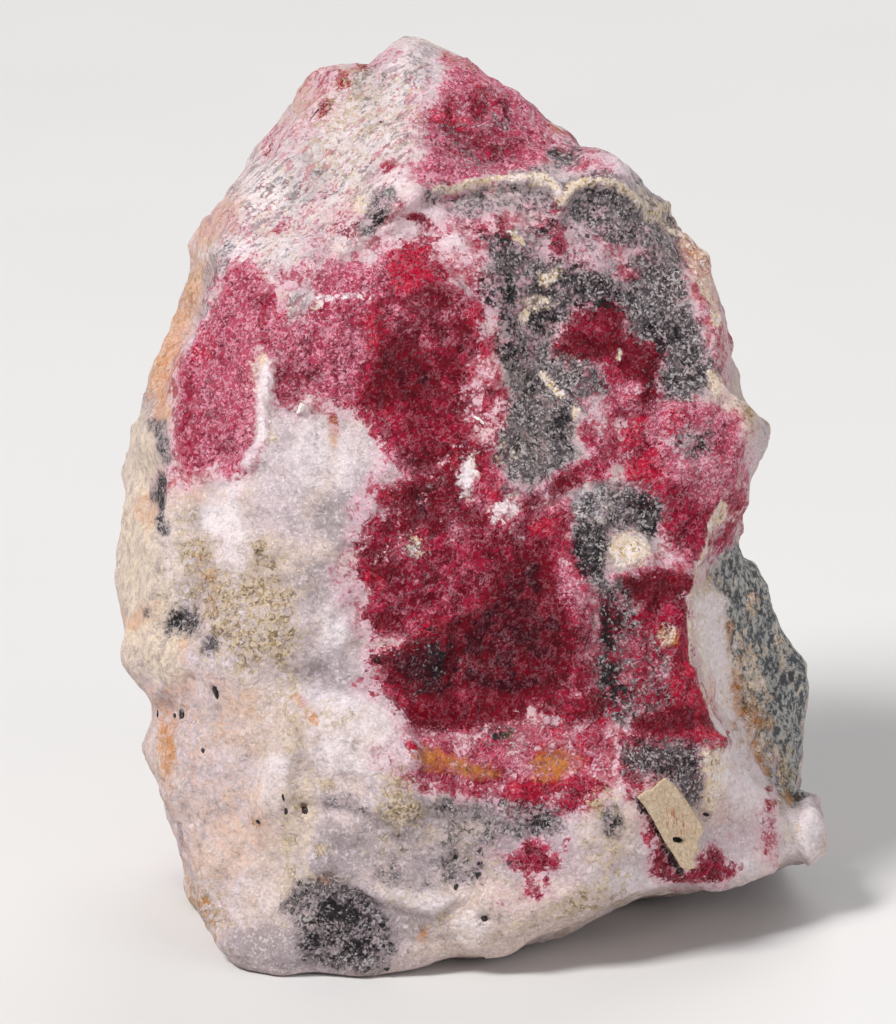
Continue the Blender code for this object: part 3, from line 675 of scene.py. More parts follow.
        area(-0.35, 160, 690, 200, 670, 250, 700, 256, 790, 270, 840, 230, 870, 184, 870, 166, 780),
        vein(HALF, 4, 294, 696, 304, 706, 313, 720),
        vein(HALF, 6, 686, 232, 700, 262, 708, 290),
        *ovals(SOLID, (178, 312, 7, 12, 20)),
        *ovals(MOST, (460, 60, 16, 6, 30), (333, 437, 4, 12), (740, 704, 5, 10), (753, 602, 5, 7),
            (560, 276, 7, 4, -20)),
        *ovals(HALF, (148, 510, 10, 14, -10), (167, 752, 7, 30, -4), (152, 696, 4, 14, -10), (142, 616, 16, 8, -30),
            (184, 652, 6, 10, -20), (559, 132, 10, 5, 40), (208, 236, 8, 14, 20), (218, 216, 18, 18, -30),
            (306, 100, 14, 8, -40), (258, 822, 5, 4), (783, 662, 3, 10, -15)),
        *ovals(SOME, (225, 205, 16, 10, -50), (285, 128, 22, 8, -50), (206, 868, 20, 40), (206, 900, 10, 30, -25),
            (708, 300, 5, 30, -10), (746, 640, 8, 5, 30), (574, 760, 10, 14), (197, 488, 22, 14, 20)),
        *ovals(FEW, (236, 224, 18, 12, -30), (676, 820, 6, 12, -30), (150, 640, 30, 40)),
    ),
    # partly painted light: besides snowy albite, some snow patches whiten walls and edges that lie in shade
    Mineral.SNOW_AND_PAINTED_LIGHT: (
        area(HALF, 296, 120, 340, 84, 390, 56, 424, 56, 404, 130, 370, 170, 334, 206, 280, 228, 238, 222, 232, 190,
            258, 158),
        # painted light: whitens the wall beside the slab, which faces away from the key lamp
        area(SOLID, 716, 696, 742, 742, 770, 788, 762, 806, 730, 772, 712, 732),
        area(HALF, 290, 694, 305, 686, 336, 690, 380, 693, 392, 704, 396, 740, 370, 770, 330, 776, 306, 750,
            312, 722),
        # painted light: whitens the crust on the same shaded wall
        area(HALF, 697, 604, 712, 582, 722, 600, 730, 650, 744, 700, 748, 738, 726, 722, 710, 694, 701, 655),
        vein(MOST, 5, 262, 396, 260, 430, 250, 462),
        # the ovals at (748, 786) and (800, 832) are partly painted light on the shaded wall by the slab and under the
        # nub
        *ovals(SOLID, (222, 520, 22, 20, -20), (236, 488, 13, 7, -20), (748, 786, 24, 32, -30), (265, 384, 7, 22, 8),
            (400, 230, 24, 12), (468, 480, 13, 26, -10), (503, 510, 17, 12, -30), (342, 296, 40, 8),
            (430, 214, 18, 10), (800, 832, 20, 32), (650, 880, 5, 8)),
        *ovals(MOST, (398, 752, 20, 22), (262, 190, 26, 30, 30), (400, 66, 24, 12, -20), (335, 632, 14, 22, 10),
            (392, 186, 18, 24), (236, 252, 30, 16), (454, 242, 12, 8), (618, 174, 20, 8, 30), (236, 552, 14, 24),
            (590, 505, 16, 20)),
        # the first two ovals here are painted light along the bottom edge, which lies in shade
        *ovals(HALF, (745, 868, 40, 8, -6), (640, 880, 34, 10, -8), (402, 206, 16, 10, -20), (470, 205, 34, 9),
            (318, 455, 30, 34), (346, 240, 26, 13, -30), (290, 246, 24, 12, -40), (178, 575, 14, 40),
            (470, 930, 16, 16), (420, 900, 26, 10, 14), (250, 180, 20, 26, 30), (380, 720, 20, 24),
            (410, 130, 20, 50, 25), (305, 405, 8, 6, -40), (592, 590, 16, 10), (560, 456, 20, 8, -35),
            (270, 780, 16, 24)),
        *ovals(SOME, (464, 236, 22, 20), (286, 300, 9, 16), (520, 216, 46, 12, 10), (486, 288, 12, 10),
            (246, 892, 24, 24), (652, 528, 10, 12), (230, 810, 30, 40), (740, 815, 14, 40)),
        *ovals(FEW, (345, 850, 34, 26), (526, 714, 16, 7)),
    ),
    # painted shade, partly grey albite: the shade patches darken the albite under ledges, along the foot, by the rims
    # and beside the red, where shade falls, and in its own greyish zones
    Mineral.GREY_AND_PAINTED_SHADE: (
        area(HALF, 380, 786, 420, 790, 440, 812, 436, 850, 420, 880, 380, 876, 376, 840),
        area(MOST, 330, 868, 372, 898, 404, 914, 440, 916, 448, 908, 446, 930, 410, 945, 388, 930, 350, 905,
            316, 886),
        area(MOST, 440, 784, 500, 786, 512, 812, 470, 814, 440, 806),
        area(HALF, 248, 934, 296, 936, 302, 956, 270, 972, 252, 955),
        vein(HALF, 5, 326, 801, 352, 806, 378, 816, 400, 833),
        vein(HALF, 10, 160, 420, 168, 450),
        *ovals(SOLID, (328, 868, 28, 22), (276, 948, 46, 26), (470, 812, 40, 14, 6), (362, 500, 11, 22),
            (346, 682, 42, 12), (512, 852, 62, 26), (146, 398, 12, 18), (280, 396, 9, 8), (528, 820, 36, 18),
            (784, 806, 7, 6)),
        *ovals(MOST, (350, 520, 34, 34, 20), (332, 670, 34, 14), (198, 516, 12, 12), (350, 846, 36, 18, 10),
            (300, 170, 26, 38, 10), (285, 276, 10, 8)),
        *ovals(HALF, (330, 585, 40, 20), (366, 640, 10, 26), (478, 300, 14, 16, 20), (580, 600, 24, 30),
            (812, 828, 5, 22)),
        *ovals(SOME, (200, 760, 34, 60), (340, 760, 30, 12), (380, 90, 16, 24, 20), (300, 262, 22, 16, -40),
            (590, 650, 16, 30)),
        *ovals(FEW, (238, 576, 16, 14), (740, 780, 12, 14)),
    ),
    Mineral.SLAB: (
        area(SOLID, 718, 520, 730, 532, 742, 545, 756, 560, 772, 590, 786, 620, 800, 650, 806, 690, 804, 740,
            800, 776, 806, 800, 782, 806, 764, 780, 754, 745, 742, 715, 736, 690, 728, 640, 718, 590, 706, 570),
    ),
}


HEART = (0.0, 0.0, 38.0)
HALF_WIDTH = 30.0


@dataclass(frozen=True)
class Wild:
    """How a mineral lies on the sides and back, where nothing is drawn.

    Its patches are so wide, with more of them as `plenty` grows and, by `lean`, towards one side. A steep one has
    crisp edges.
    """

    size: float
    plenty: float
    seed: int
    steep: float = 2.5
    fill: float = HALF
    lean: tuple[float, float, float] = (0.0, 0.0, 0.0)

    def depth(self, points: np.ndarray) -> np.ndarray:
        """How deep every point lies in the mineral, in millimetres, below zero outside it."""
        share = (points - HEART) / HALF_WIDTH @ np.array(self.lean)
        return np.clip(self.steep * rubble(points, self.size, self.seed) + self.plenty + share, OUTSIDE, self.fill)


ELSEWHERE: dict[Mineral, Wild] = {
    Mineral.RED: Wild(17.0, -1.15, 3, 3.0, 1.4, (0.2, 0.0, 0.5)),
    Mineral.DEEP: Wild(9.0, -0.7, 5),
    Mineral.VIVID: Wild(8.0, -1.4, 7),
    Mineral.FROST: Wild(7.0, 0.4, 9, 2.0, 1.4),
    Mineral.PINK: Wild(17.0, -0.5, 3, 3.0, MOST, (0.2, 0.0, 0.3)),
    Mineral.GREY: Wild(15.0, -1.3, 13, 2.6, 0.2, (0.5, 0.3, -0.2)),
    Mineral.BLACK: Wild(15.0, -1.9, 13, 2.2, SOME, (0.4, 0.3, -0.2)),
    Mineral.CREAM: Wild(18.0, -0.3, 17, 2.2, MOST, (-0.7, 0.0, -0.2)),
    Mineral.OCHRE: Wild(8.0, -1.7, 19, 2.4, SOME, (-0.2, 0.3, -0.3)),
    Mineral.RUST: Wild(14.0, -1.2, 21, 2.2, HALF, (-0.8, 0.1, 0.2)),
    Mineral.SNOW_AND_PAINTED_LIGHT: Wild(10.0, -0.4, 23, 2.6, MOST),
    Mineral.GREY_AND_PAINTED_SHADE: Wild(11.0, -0.3, 25, 2.6, MOST),
    Mineral.SLAB: Wild(30.0, -2.6, 27, 1.5),
    Mineral.STREAK: Wild(20.0, -0.6, 29, 2.2, SOLID),
    Mineral.CRUST: Wild(6.0, -2.0, 33, 2.4, SOME),
    Mineral.AMBER: Wild(8.0, -2.2, 35, 2.4, SOME, (-0.3, 0.4, -0.2)),
}


# ---------------------------------------------------------------- the rock's surface


@dataclass(frozen=True)
class Step:
    """A step in the face along a line on the board: what lies left of someone walking along it stands higher."""

    line: tuple[Point, ...]
    rise: float
    run: float
    width: float = 0.35

    def lift(self, spots: np.ndarray) -> np.ndarray:
        """How far the step raises or sinks each spot, in millimetres."""
        nearest, side = np.full(len(spots), np.inf), np.zeros(len(spots))
        for (x0, y0), (x1, y1) in zip(self.line, self.line[1:]):
            along = np.array((x1 - x0, y0 - y1), float) * Board.unit
            away = (spots - (x0, y0)) * (Board.unit, -Board.unit)
            share = np.clip(away @ along / (along @ along), 0.0, 1.0)
            distance = np.hypot(*(away - share[:, None] * along).T)
            closer = distance < nearest
            across = (along[0] * away[:, 1] - along[1] * away[:, 0]) / np.hypot(*along)
            side, nearest = np.where(closer, across, side), np.where(closer, distance, nearest)
        raised = np.clip(side / self.width, -1.0, 1.0)
        return 0.5 * self.rise * raised * np.exp(-((nearest / self.run) ** 2))


STEPS = (
    Step(((694, 255), (668, 216), (640, 207), (616, 190), (590, 189), (576, 195), (566, 207), (557, 195),
          (542, 189), (522, 188), (492, 184), (471, 187), (431, 197), (398, 214)), -1.2, 2.6, 0.25),
    Step(((284, 730), (288, 700), (300, 688), (320, 689), (345, 691), (386, 692), (404, 712), (414, 740)), -0.9, 2.4),
    Step(((326, 800), (352, 806), (378, 816), (400, 834)), 0.5, 2.0),
    Step(((370, 898), (404, 911), (430, 913), (448, 905)), 0.8, 1.8),
    Step(((262, 470), (258, 430), (260, 390), (268, 350)), -0.5, 1.4),
    Step(((184, 470), (205, 480), (232, 484), (256, 468)), 0.45, 1.6),
    Step(((361, 410), (368, 380), (376, 350), (380, 322)), -0.5, 2.0),
    Step(((361, 410), (400, 411), (456, 409)), 0.35, 1.6),
    Step(((388, 648), (412, 642), (447, 621), (452, 640), (452, 700)), -0.5, 2.2),
    Step(((452, 700), (430, 694), (400, 682)), -0.4, 1.8),
    Step(((372, 603), (367, 620), (372, 640), (392, 644)), 0.4, 1.4),
    Step(((640, 740), (672, 744), (723, 751)), 0.6, 1.6),
    Step(((540, 506), (562, 496), (586, 487), (610, 484)), 0.45, 1.8),
    Step(((402, 706), (404, 722), (413, 740)), 0.4, 1.5),
    Step(((270, 405), (297, 411), (317, 407), (332, 421), (353, 420), (380, 440), (398, 453)), 0.35, 1.4),
    Step(((400, 242), (430, 243), (446, 266), (466, 293)), -0.4, 1.5),
    Step(((600, 560), (606, 540), (626, 527), (645, 534), (657, 553)), -0.5, 1.6),
    Step(((200, 930), (214, 890), (232, 860)), 0.4, 2.4),
    Step(((804, 800), (799, 830), (806, 870)), 0.9, 2.2, 0.25),
    Step(((778, 806), (786, 838), (776, 872)), -0.5, 2.0, 0.25),
)
PITS = (
    (Oval((304.7, 810.5), (5.5, 6.5)), 0.9), (Oval((216, 694), (5, 9)), 0.4), (Oval((181.6, 714), (5, 8)), 0.4),
    (Oval((706, 814), (6, 5)), 0.8), (Oval((455.5, 857), (4, 4)), 0.4), (Oval((484, 919), (7, 5)), 0.5),
    (Oval((298, 803), (10, 9)), 0.35), (Oval((286, 811), (4, 6)), 0.3), (Oval((548, 300), (12, 10)), 0.4),
)


def averaged(values: np.ndarray, pairs: np.ndarray, times: int) -> np.ndarray:
    """Each value averaged with its neighbours' along the edges, so many times over."""
    count = np.zeros(len(values)) + 1e-9
    np.add.at(count, pairs.ravel(), 1.0)
    shape = (-1,) + (1,) * (values.ndim - 1)
    for _ in range(times):
        total = np.zeros_like(values)
        np.add.at(total, pairs[:, 0], values[pairs[:, 1]])
        np.add.at(total, pairs[:, 1], values[pairs[:, 0]])
        values = 0.5 * values + 0.5 * total / count.reshape(shape)
    return values


@dataclass(frozen=True)
class Shells:
    """One layer of shallow shells over the rock: how wide and steep they are, how high, and how much higher on red.

    A hushed layer is lower where the albite is snowy.
    """

    cell: float
    tilt: float
    seed: int
    high: float
    on_red: float
    hushed: bool = True


@dataclass
class RockSkin:
    """The whole rock's surface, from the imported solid. Lengths are millimetres."""

    board: Board
    node_name: str = "tugtupite_rock"
    weld: float = 0.005
    grain: float = 0.72
    easing: int = 4
    split_from: float = 0.4
    graze: float = 0.02
    clear: tuple[float, float] = (0.3, 0.2)
    seam: tuple[float, int] = (3.5, 16)
    lean_rounds: int = 3
    settle: float = 0.25
    outline_drift: float = 4.0
    ledge_drift: float = 2.0
    layers: tuple[Shells, ...] = (
        Shells(4.6, 0.42, 11, 0.52, -0.10), Shells(2.3, 0.46, 23, 0.36, 0.26), Shells(1.15, 0.46, 37, 0.28, 0.25, False)
    )
    rubble_high: float = 0.10
    grey_sunk: float = 0.12
    red_proud: float = 0.10
    snow_proud: float = 0.22
    snow_hush: float = 0.45
    slab_grain: tuple[float, float, float] = (1.0, 1.0, 0.42)
    slab_high: float = 0.38
    cream_share: float = 0.6
    pit_slope: float = 0.4
    foot_high: float = 1.5
    piece: bpy.types.Object | None = None
    depths: dict[Mineral, np.ndarray] = field(default_factory=dict)

    def build(self) -> bpy.types.Object:
        """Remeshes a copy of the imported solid, draws the minerals on it and breaks its surface.

        Returns:
            The finished piece, undressed.
        """
        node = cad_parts[self.node_name]
        self.piece = self.remeshed(node)
        self.refine()
        mesh = self.piece.data
        points, normals, pairs = self.measured(mesh)
        gain, rounds = self.seam
        seen = np.clip(gain * averaged(self.seen(points, normals), pairs, rounds), 0.0, 1.0)
        self.draw(points, seen)
        lift = self.relief(points, seen)
        points = points + lift[:, None] * averaged(normals, pairs, self.lean_rounds)
        points = (1.0 - self.settle) * points + self.settle * averaged(points, pairs, 1)
        low, high = (np.array(corner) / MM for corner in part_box(self.node_name))
        points = np.clip(points, low, high)
        move_points(mesh, points)
        for mineral, depth in self.depths.items():
            carry(mesh, mineral.value, depth)
        shade_smooth(mesh)
        mesh.calc_loop_triangles()
        log.info("%s: %d triangles", self.piece.name, len(mesh.loop_triangles))
        return self.piece

    def remeshed(self, node: bpy.types.Object) -> bpy.types.Object:
        """A finely meshed copy of a node, with the creases between its flat faces eased."""
        bm = bmesh.new()
        bm.from_mesh(node.data)
        bmesh.ops.remove_doubles(bm, verts=bm.verts[:], dist=self.weld * MM)
        bmesh.ops.recalc_face_normals(bm, faces=bm.faces[:])
        rock = placed("rock", bm)
        make_even(rock, self.grain)
        points, _, pairs = self.measured(rock.data)
        move_points(rock.data, averaged(points, pairs, self.easing))
        return rock

    def refine(self) -> None:
        """Splits every face that the board reaches into four, and eases the result."""
        mesh = self.piece.data
        points, normals, pairs = self.measured(mesh)
        reached = averaged(self.seen(points, normals), pairs, 2) > self.split_from
        bm = bmesh.new()
        bm.from_mesh(mesh)
        bm.verts.ensure_lookup_table()
        split = [edge for edge in bm.edges if all(reached[vert.index] for vert in edge.verts)]
        bmesh.ops.subdivide_edges(bm, edges=split, cuts=1, use_grid_fill=True)
        bm.to_mesh(mesh)
        bm.free()
        points, _, pairs = self.measured(mesh)
        move_points(mesh, averaged(points, pairs, 2))

    def measured(self, mesh: bpy.types.Mesh) -> tuple[np.ndarray, np.ndarray, np.ndarray]:
        """A mesh's points in millimetres, its normals, and the pairs of points that its edges join."""
        count = len(mesh.vertices)
        points, normals = np.zeros(count * 3), np.zeros(count * 3)
        pairs = np.zeros(len(mesh.edges) * 2, np.int64)
        mesh.vertices.foreach_get("co", points)
        mesh.vertices.foreach_get("normal", normals)
        mesh.edges.foreach_get("vertices", pairs)
        return points.reshape(-1, 3) / MM, normals.reshape(-1, 3), pairs.reshape(-1, 2)

    def seen(self, points: np.ndarray, normals: np.ndarray) -> np.ndarray:
        """1 where a point faces the board with nothing in between, and 0 where it doesn't."""
        tree = self.tree()
        eye = np.array(self.board.eye)
        towards = eye - points
        towards /= np.linalg.norm(towards, axis=1)[:, None]
        facing = np.sum(towards * normals, axis=1) > self.graze
        off_surface, off_ray = self.clear
        result = np.zeros(len(points))
        for index in np.nonzero(facing)[0]:
            start = (points[index] + off_surface * normals[index] + off_ray * towards[index]) * MM
            if tree.ray_cast(Vector(start), Vector(towards[index]))[0] is None:
                result[index] = 1.0
        return result

    def tree(self) -> BVHTree:
        """The surface, ready to be hit by rays."""
        bm = bmesh.new()
        bm.from_mesh(self.piece.data)
        tree = BVHTree.FromBMesh(bm)
        bm.free()
        return tree

    def draw(self, points: np.ndarray, seen: np.ndarray) -> None:
        """Works out how deep every point lies in each mineral."""
        jitter = np.stack([rubble(points, 3.2, 60 + k, 3) for k in range(2)], axis=1)
        spots = self.board.spots(points) + self.outline_drift * jitter
        for mineral, patches in FACE.items():
            drawn = np.full(len(points), OUTSIDE)
            for patch in patches:
                drawn = np.maximum(drawn, patch.depth(spots))
            self.depths[mineral] = seen * drawn + (1.0 - seen) * ELSEWHERE[mineral].depth(points)

    def relief(self, points: np.ndarray, seen: np.ndarray) -> np.ndarray:
        """How far the surface is raised or sunk at every point, in millimetres."""
        drift = np.stack([swell(points, 1.6, 70 + k) for k in range(2)], axis=1)
        spots = self.board.spots(points) + self.ledge_drift * drift
        red = self.share(Mineral.RED, 0.5)
        calm = 1.0 - self.snow_hush * self.share(Mineral.SNOW_AND_PAINTED_LIGHT, 0.5)
        lift = np.zeros(len(points))
        for layer in self.layers:
            height = (layer.high + layer.on_red * red) * (calm if layer.hushed else 1.0)
            lift += height * flakes(points, layer.cell, layer.tilt, layer.seed)
        lift += self.rubble_high * rubble(points, 1.4, 41, 2)
        lift += self.red_proud * red - self.grey_sunk * self.share(Mineral.GREY, 0.5)
        lift += self.snow_proud * self.share(Mineral.SNOW_AND_PAINTED_LIGHT, 0.6) * (1.0 - red)
        slab = self.share(Mineral.SLAB, 1.5) + self.cream_share * self.share(Mineral.CREAM, 0.0)
        lift += self.slab_high * slab * flakes(points * self.slab_grain, 1.7, 0.5, 61)
        for step in STEPS:
            lift += seen * step.lift(spots)
        for pit, deep in PITS:
            slope = self.pit_slope * min(pit.radii) * Board.unit
            lift -= seen * deep * np.clip(pit.depth(spots) / slope, 0.0, 1.0)
        return lift * np.clip(points[:, 2] / self.foot_high, 0.0, 1.0)

    def share(self, mineral: Mineral, spread: float) -> np.ndarray:
        """1 inside a mineral and 0 outside it, with the edge moved out by so many millimetres."""
        return np.clip(self.depths[mineral] + spread, 0.0, 1.0)

    def dress(self, finish: "RockFinish") -> None:
        """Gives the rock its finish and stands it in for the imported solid."""
        self.piece.data.materials.append(finish.material())
        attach(self.piece, "root")
        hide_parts(self.node_name)


@dataclass
class CreamCrystal:
    """A slab-shaped cream crystal that lies on the face, low on the right."""

    board: Board
    outline: tuple[Point, ...] = (
        (637, 797), (645, 791), (652, 790), (657, 784), (665, 777), (673, 784), (683, 796), (692, 809), (699, 821),
        (704, 831), (697, 841), (700, 850), (693, 857), (696, 868), (686, 871), (680, 866), (671, 851), (662, 837),
        (654, 821), (645, 807),
    )
    hole: Oval = Oval((679, 840), (6.0, 3.0), 8)
    scratches: Oval = Oval((675, 822), (17, 12), 45)
    thick: float = 1.5
    proud: float = 0.75
    sunk: float = 0.45
    rounding: float = 0.07
    hollow_deep: float = 0.55
    hollow_slope: float = 0.12
    grain: float = 0.16
    piece: bpy.types.Object | None = None

    def build(self, skin: RockSkin) -> bpy.types.Object:
        """Lays the crystal's outline on the rock and raises it.

        Args:
            skin: the rock that carries the crystal.

        Returns:
            The finished piece, undressed.
        """
        tree = skin.tree()
        hits = [tree.ray_cast(self.board.eye * MM, self.board.ray(spot))[0] for spot in self.outline]
        middle = sum(hits, Vector()) / len(hits)
        tilt = np.linalg.svd(np.array([hit - middle for hit in hits]))[2][2]
        out = Vector(tilt) * (1.0 if Vector(tilt).dot(self.board.out) > 0 else -1.0)
        highest = max((hit - middle).dot(out) for hit in hits)
        top = middle + out * (self.sunk * highest + self.proud * MM)
        bm = bmesh.new()
        rim = []
        for spot in self.outline:
            way = self.board.ray(spot)
            reach = (top - self.board.eye * MM).dot(out) / way.dot(out)
            rim.append(bm.verts.new(self.board.eye * MM + way * reach))
        face = bm.faces.new(rim)
        raised = bmesh.ops.extrude_face_region(bm, geom=[face])
        moved = [item for item in raised["geom"] if isinstance(item, bmesh.types.BMVert)]
        bmesh.ops.translate(bm, verts=moved, vec=-self.board.out * self.thick * MM)
        bmesh.ops.recalc_face_normals(bm, faces=bm.faces[:])
        bmesh.ops.bevel(
            bm, geom=bm.edges[:], offset=self.rounding * MM, segments=2, affect="EDGES", profile=0.5, material=-1
        )
        self.piece = placed("cream_crystal", bm)
        make_even(self.piece, self.grain)
        mesh = self.piece.data
        points, normals, pairs = skin.measured(mesh)
        spots = self.board.spots(points)
        hollow = np.clip(self.hole.depth(spots) / self.hollow_slope, 0.0, 1.0)
        lift = 0.30 * flakes(points, 1.3, 0.3, 51) + 0.10 * flakes(points, 0.6, 0.4, 57)
        lift -= self.hollow_deep * hollow
        move_points(mesh, points + lift[:, None] * averaged(normals, pairs, 1))
        carry(mesh, "hollow", hollow)
        carry(mesh, "scratched", self.scratches.depth(spots))
        shade_smooth(mesh)
        log.info("%s: %d faces", self.piece.name, len(mesh.polygons))
        return self.piece

    def dress(self, finish: "CreamFinish") -> None:
        """Gives the crystal its finish and joins it to the rock."""
        self.piece.data.materials.append(finish.material())
        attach(self.piece, "root")


@dataclass
class Grains:
    """A scatter of single coarse grains, half sunk in the face, as one piece."""

    board: Board
    name: str
    places: tuple[tuple[float, float, float, float, float], ...]
    sides: int = 2
    ragged: float = 0.42
    proud: float = 0.35
    depth: float = 0.8
    lumps: float = 0.8
    piece: bpy.types.Object | None = None

    def build(self, skin: RockSkin) -> bpy.types.Object:
        """Sets every grain on the rock.

        Args:
            skin: the rock that carries them.

        Returns:
            The finished piece, undressed.
        """
        tree = skin.tree()
        bm = bmesh.new()
        for index, (right, down, wide, high, turn) in enumerate(self.places):
            hit, normal, _, _ = tree.ray_cast(self.board.eye * MM, self.board.ray((right, down)))
            if hit is None:
                continue
            flat = Matrix((self.board.right, self.board.up, self.board.out)).transposed()
            lean = self.board.out.rotation_difference(normal).to_matrix()
            size = Vector((wide, high, self.depth * min(wide, high))) * Board.unit * MM
            shape = (
                Matrix.Translation(hit + normal * (self.proud - 0.5) * size.z)
                @ (lean @ flat @ Matrix.Rotation(math.radians(-turn), 3, "Z")).to_4x4()
                @ Matrix.Diagonal((*size, 1.0))
            )
            ball = bmesh.ops.create_icosphere(bm, subdivisions=self.sides, radius=1.0)
            for vert in ball["verts"]:
                rough = swell(np.array([vert.co[:]]), self.lumps, 80 + index)[0]
                vert.co *= 1.0 + self.ragged * rough
            bmesh.ops.transform(bm, matrix=shape, verts=ball["verts"])
        self.piece = placed(self.name, bm)
        log.info("%s: %d faces", self.name, len(self.piece.data.polygons))
        return self.piece

    def dress(self, finish: "GrainFinish") -> None:
        """Gives the grains their finish and joins them to the rock."""
        self.piece.data.materials.append(finish.material())
        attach(self.piece, "root")


DARK_GRAINS = (
    (216, 693, 3.2, 8, -8), (181.6, 713, 3.5, 6.5, 0), (175, 715, 2.5, 3, 0), (158.5, 713, 3, 4, 0),
    (203, 750.5, 1.8, 3.2, 0), (283, 797, 1.3, 4.5, -15), (286, 811, 2.0, 4.0, 0), (304.7, 811, 4.4, 5.2, 0),
    (455.5, 857, 2.6, 2.8, 0), (456, 887, 2.6, 4.2, 30), (484.7, 918.5, 4.2, 3.4, 20), (314, 115, 1.0, 9, 25),
    (706, 815, 4.5, 3.2, 0), (258, 822, 2.6, 2.4, 0), (381, 122, 1.4, 1.8, 0), (387, 969, 2.8, 2.4, 0),
)
# painted highlights: white grains set on two bright glints of the face, made as small raised white chips
GLINT_GRAINS = (
    (301, 408, 4.0, 6.0, 35), (298, 412, 2.2, 3.0, 10), (477, 418, 4.5, 1.7, 25), (482, 422, 4.0, 1.6, 50),
)


# ---------------------------------------------------------------- finishes


class Signal:
    """A number that varies over a surface, taking part in arithmetic."""

    def __init__(self, bench: "Bench", socket: bpy.types.NodeSocket) -> None:
        """Keeps the bench that the number is worked out on, and its socket."""
        self.bench = bench
        self.socket = socket

    def __add__(self, other: "Number") -> "Signal":
        """The sum."""
        return self.bench.maths("ADD", self, other)

    def __sub__(self, other: "Number") -> "Signal":
        """The difference."""
        return self.bench.maths("SUBTRACT", self, other)

    def __rsub__(self, other: "Number") -> "Signal":
        """The difference the other way round."""
        return self.bench.maths("SUBTRACT", other, self)

    def __mul__(self, other: "Number") -> "Signal":
        """The product."""
        return self.bench.maths("MULTIPLY", self, other)

    def __abs__(self) -> "Signal":
        """The size, without the sign."""
        return self.bench.maths("ABSOLUTE", self)

    __radd__ = __add__
    __rmul__ = __mul__

    def most(self, other: "Number") -> "Signal":
        """The larger of two."""
        return self.bench.maths("MAXIMUM", self, other)

    def between(self, low: float, high: float) -> "Signal":
        """0 at `low`, 1 at `high`, and an even curve between."""
        node = self.bench.node(
            "ShaderNodeMapRange",
            {"interpolation_type": "SMOOTHSTEP"},
            {"Value": self, "From Min": low, "From Max": high},
        )
        return Signal(self.bench, node.outputs["Result"])


Number = Union[Signal, float]


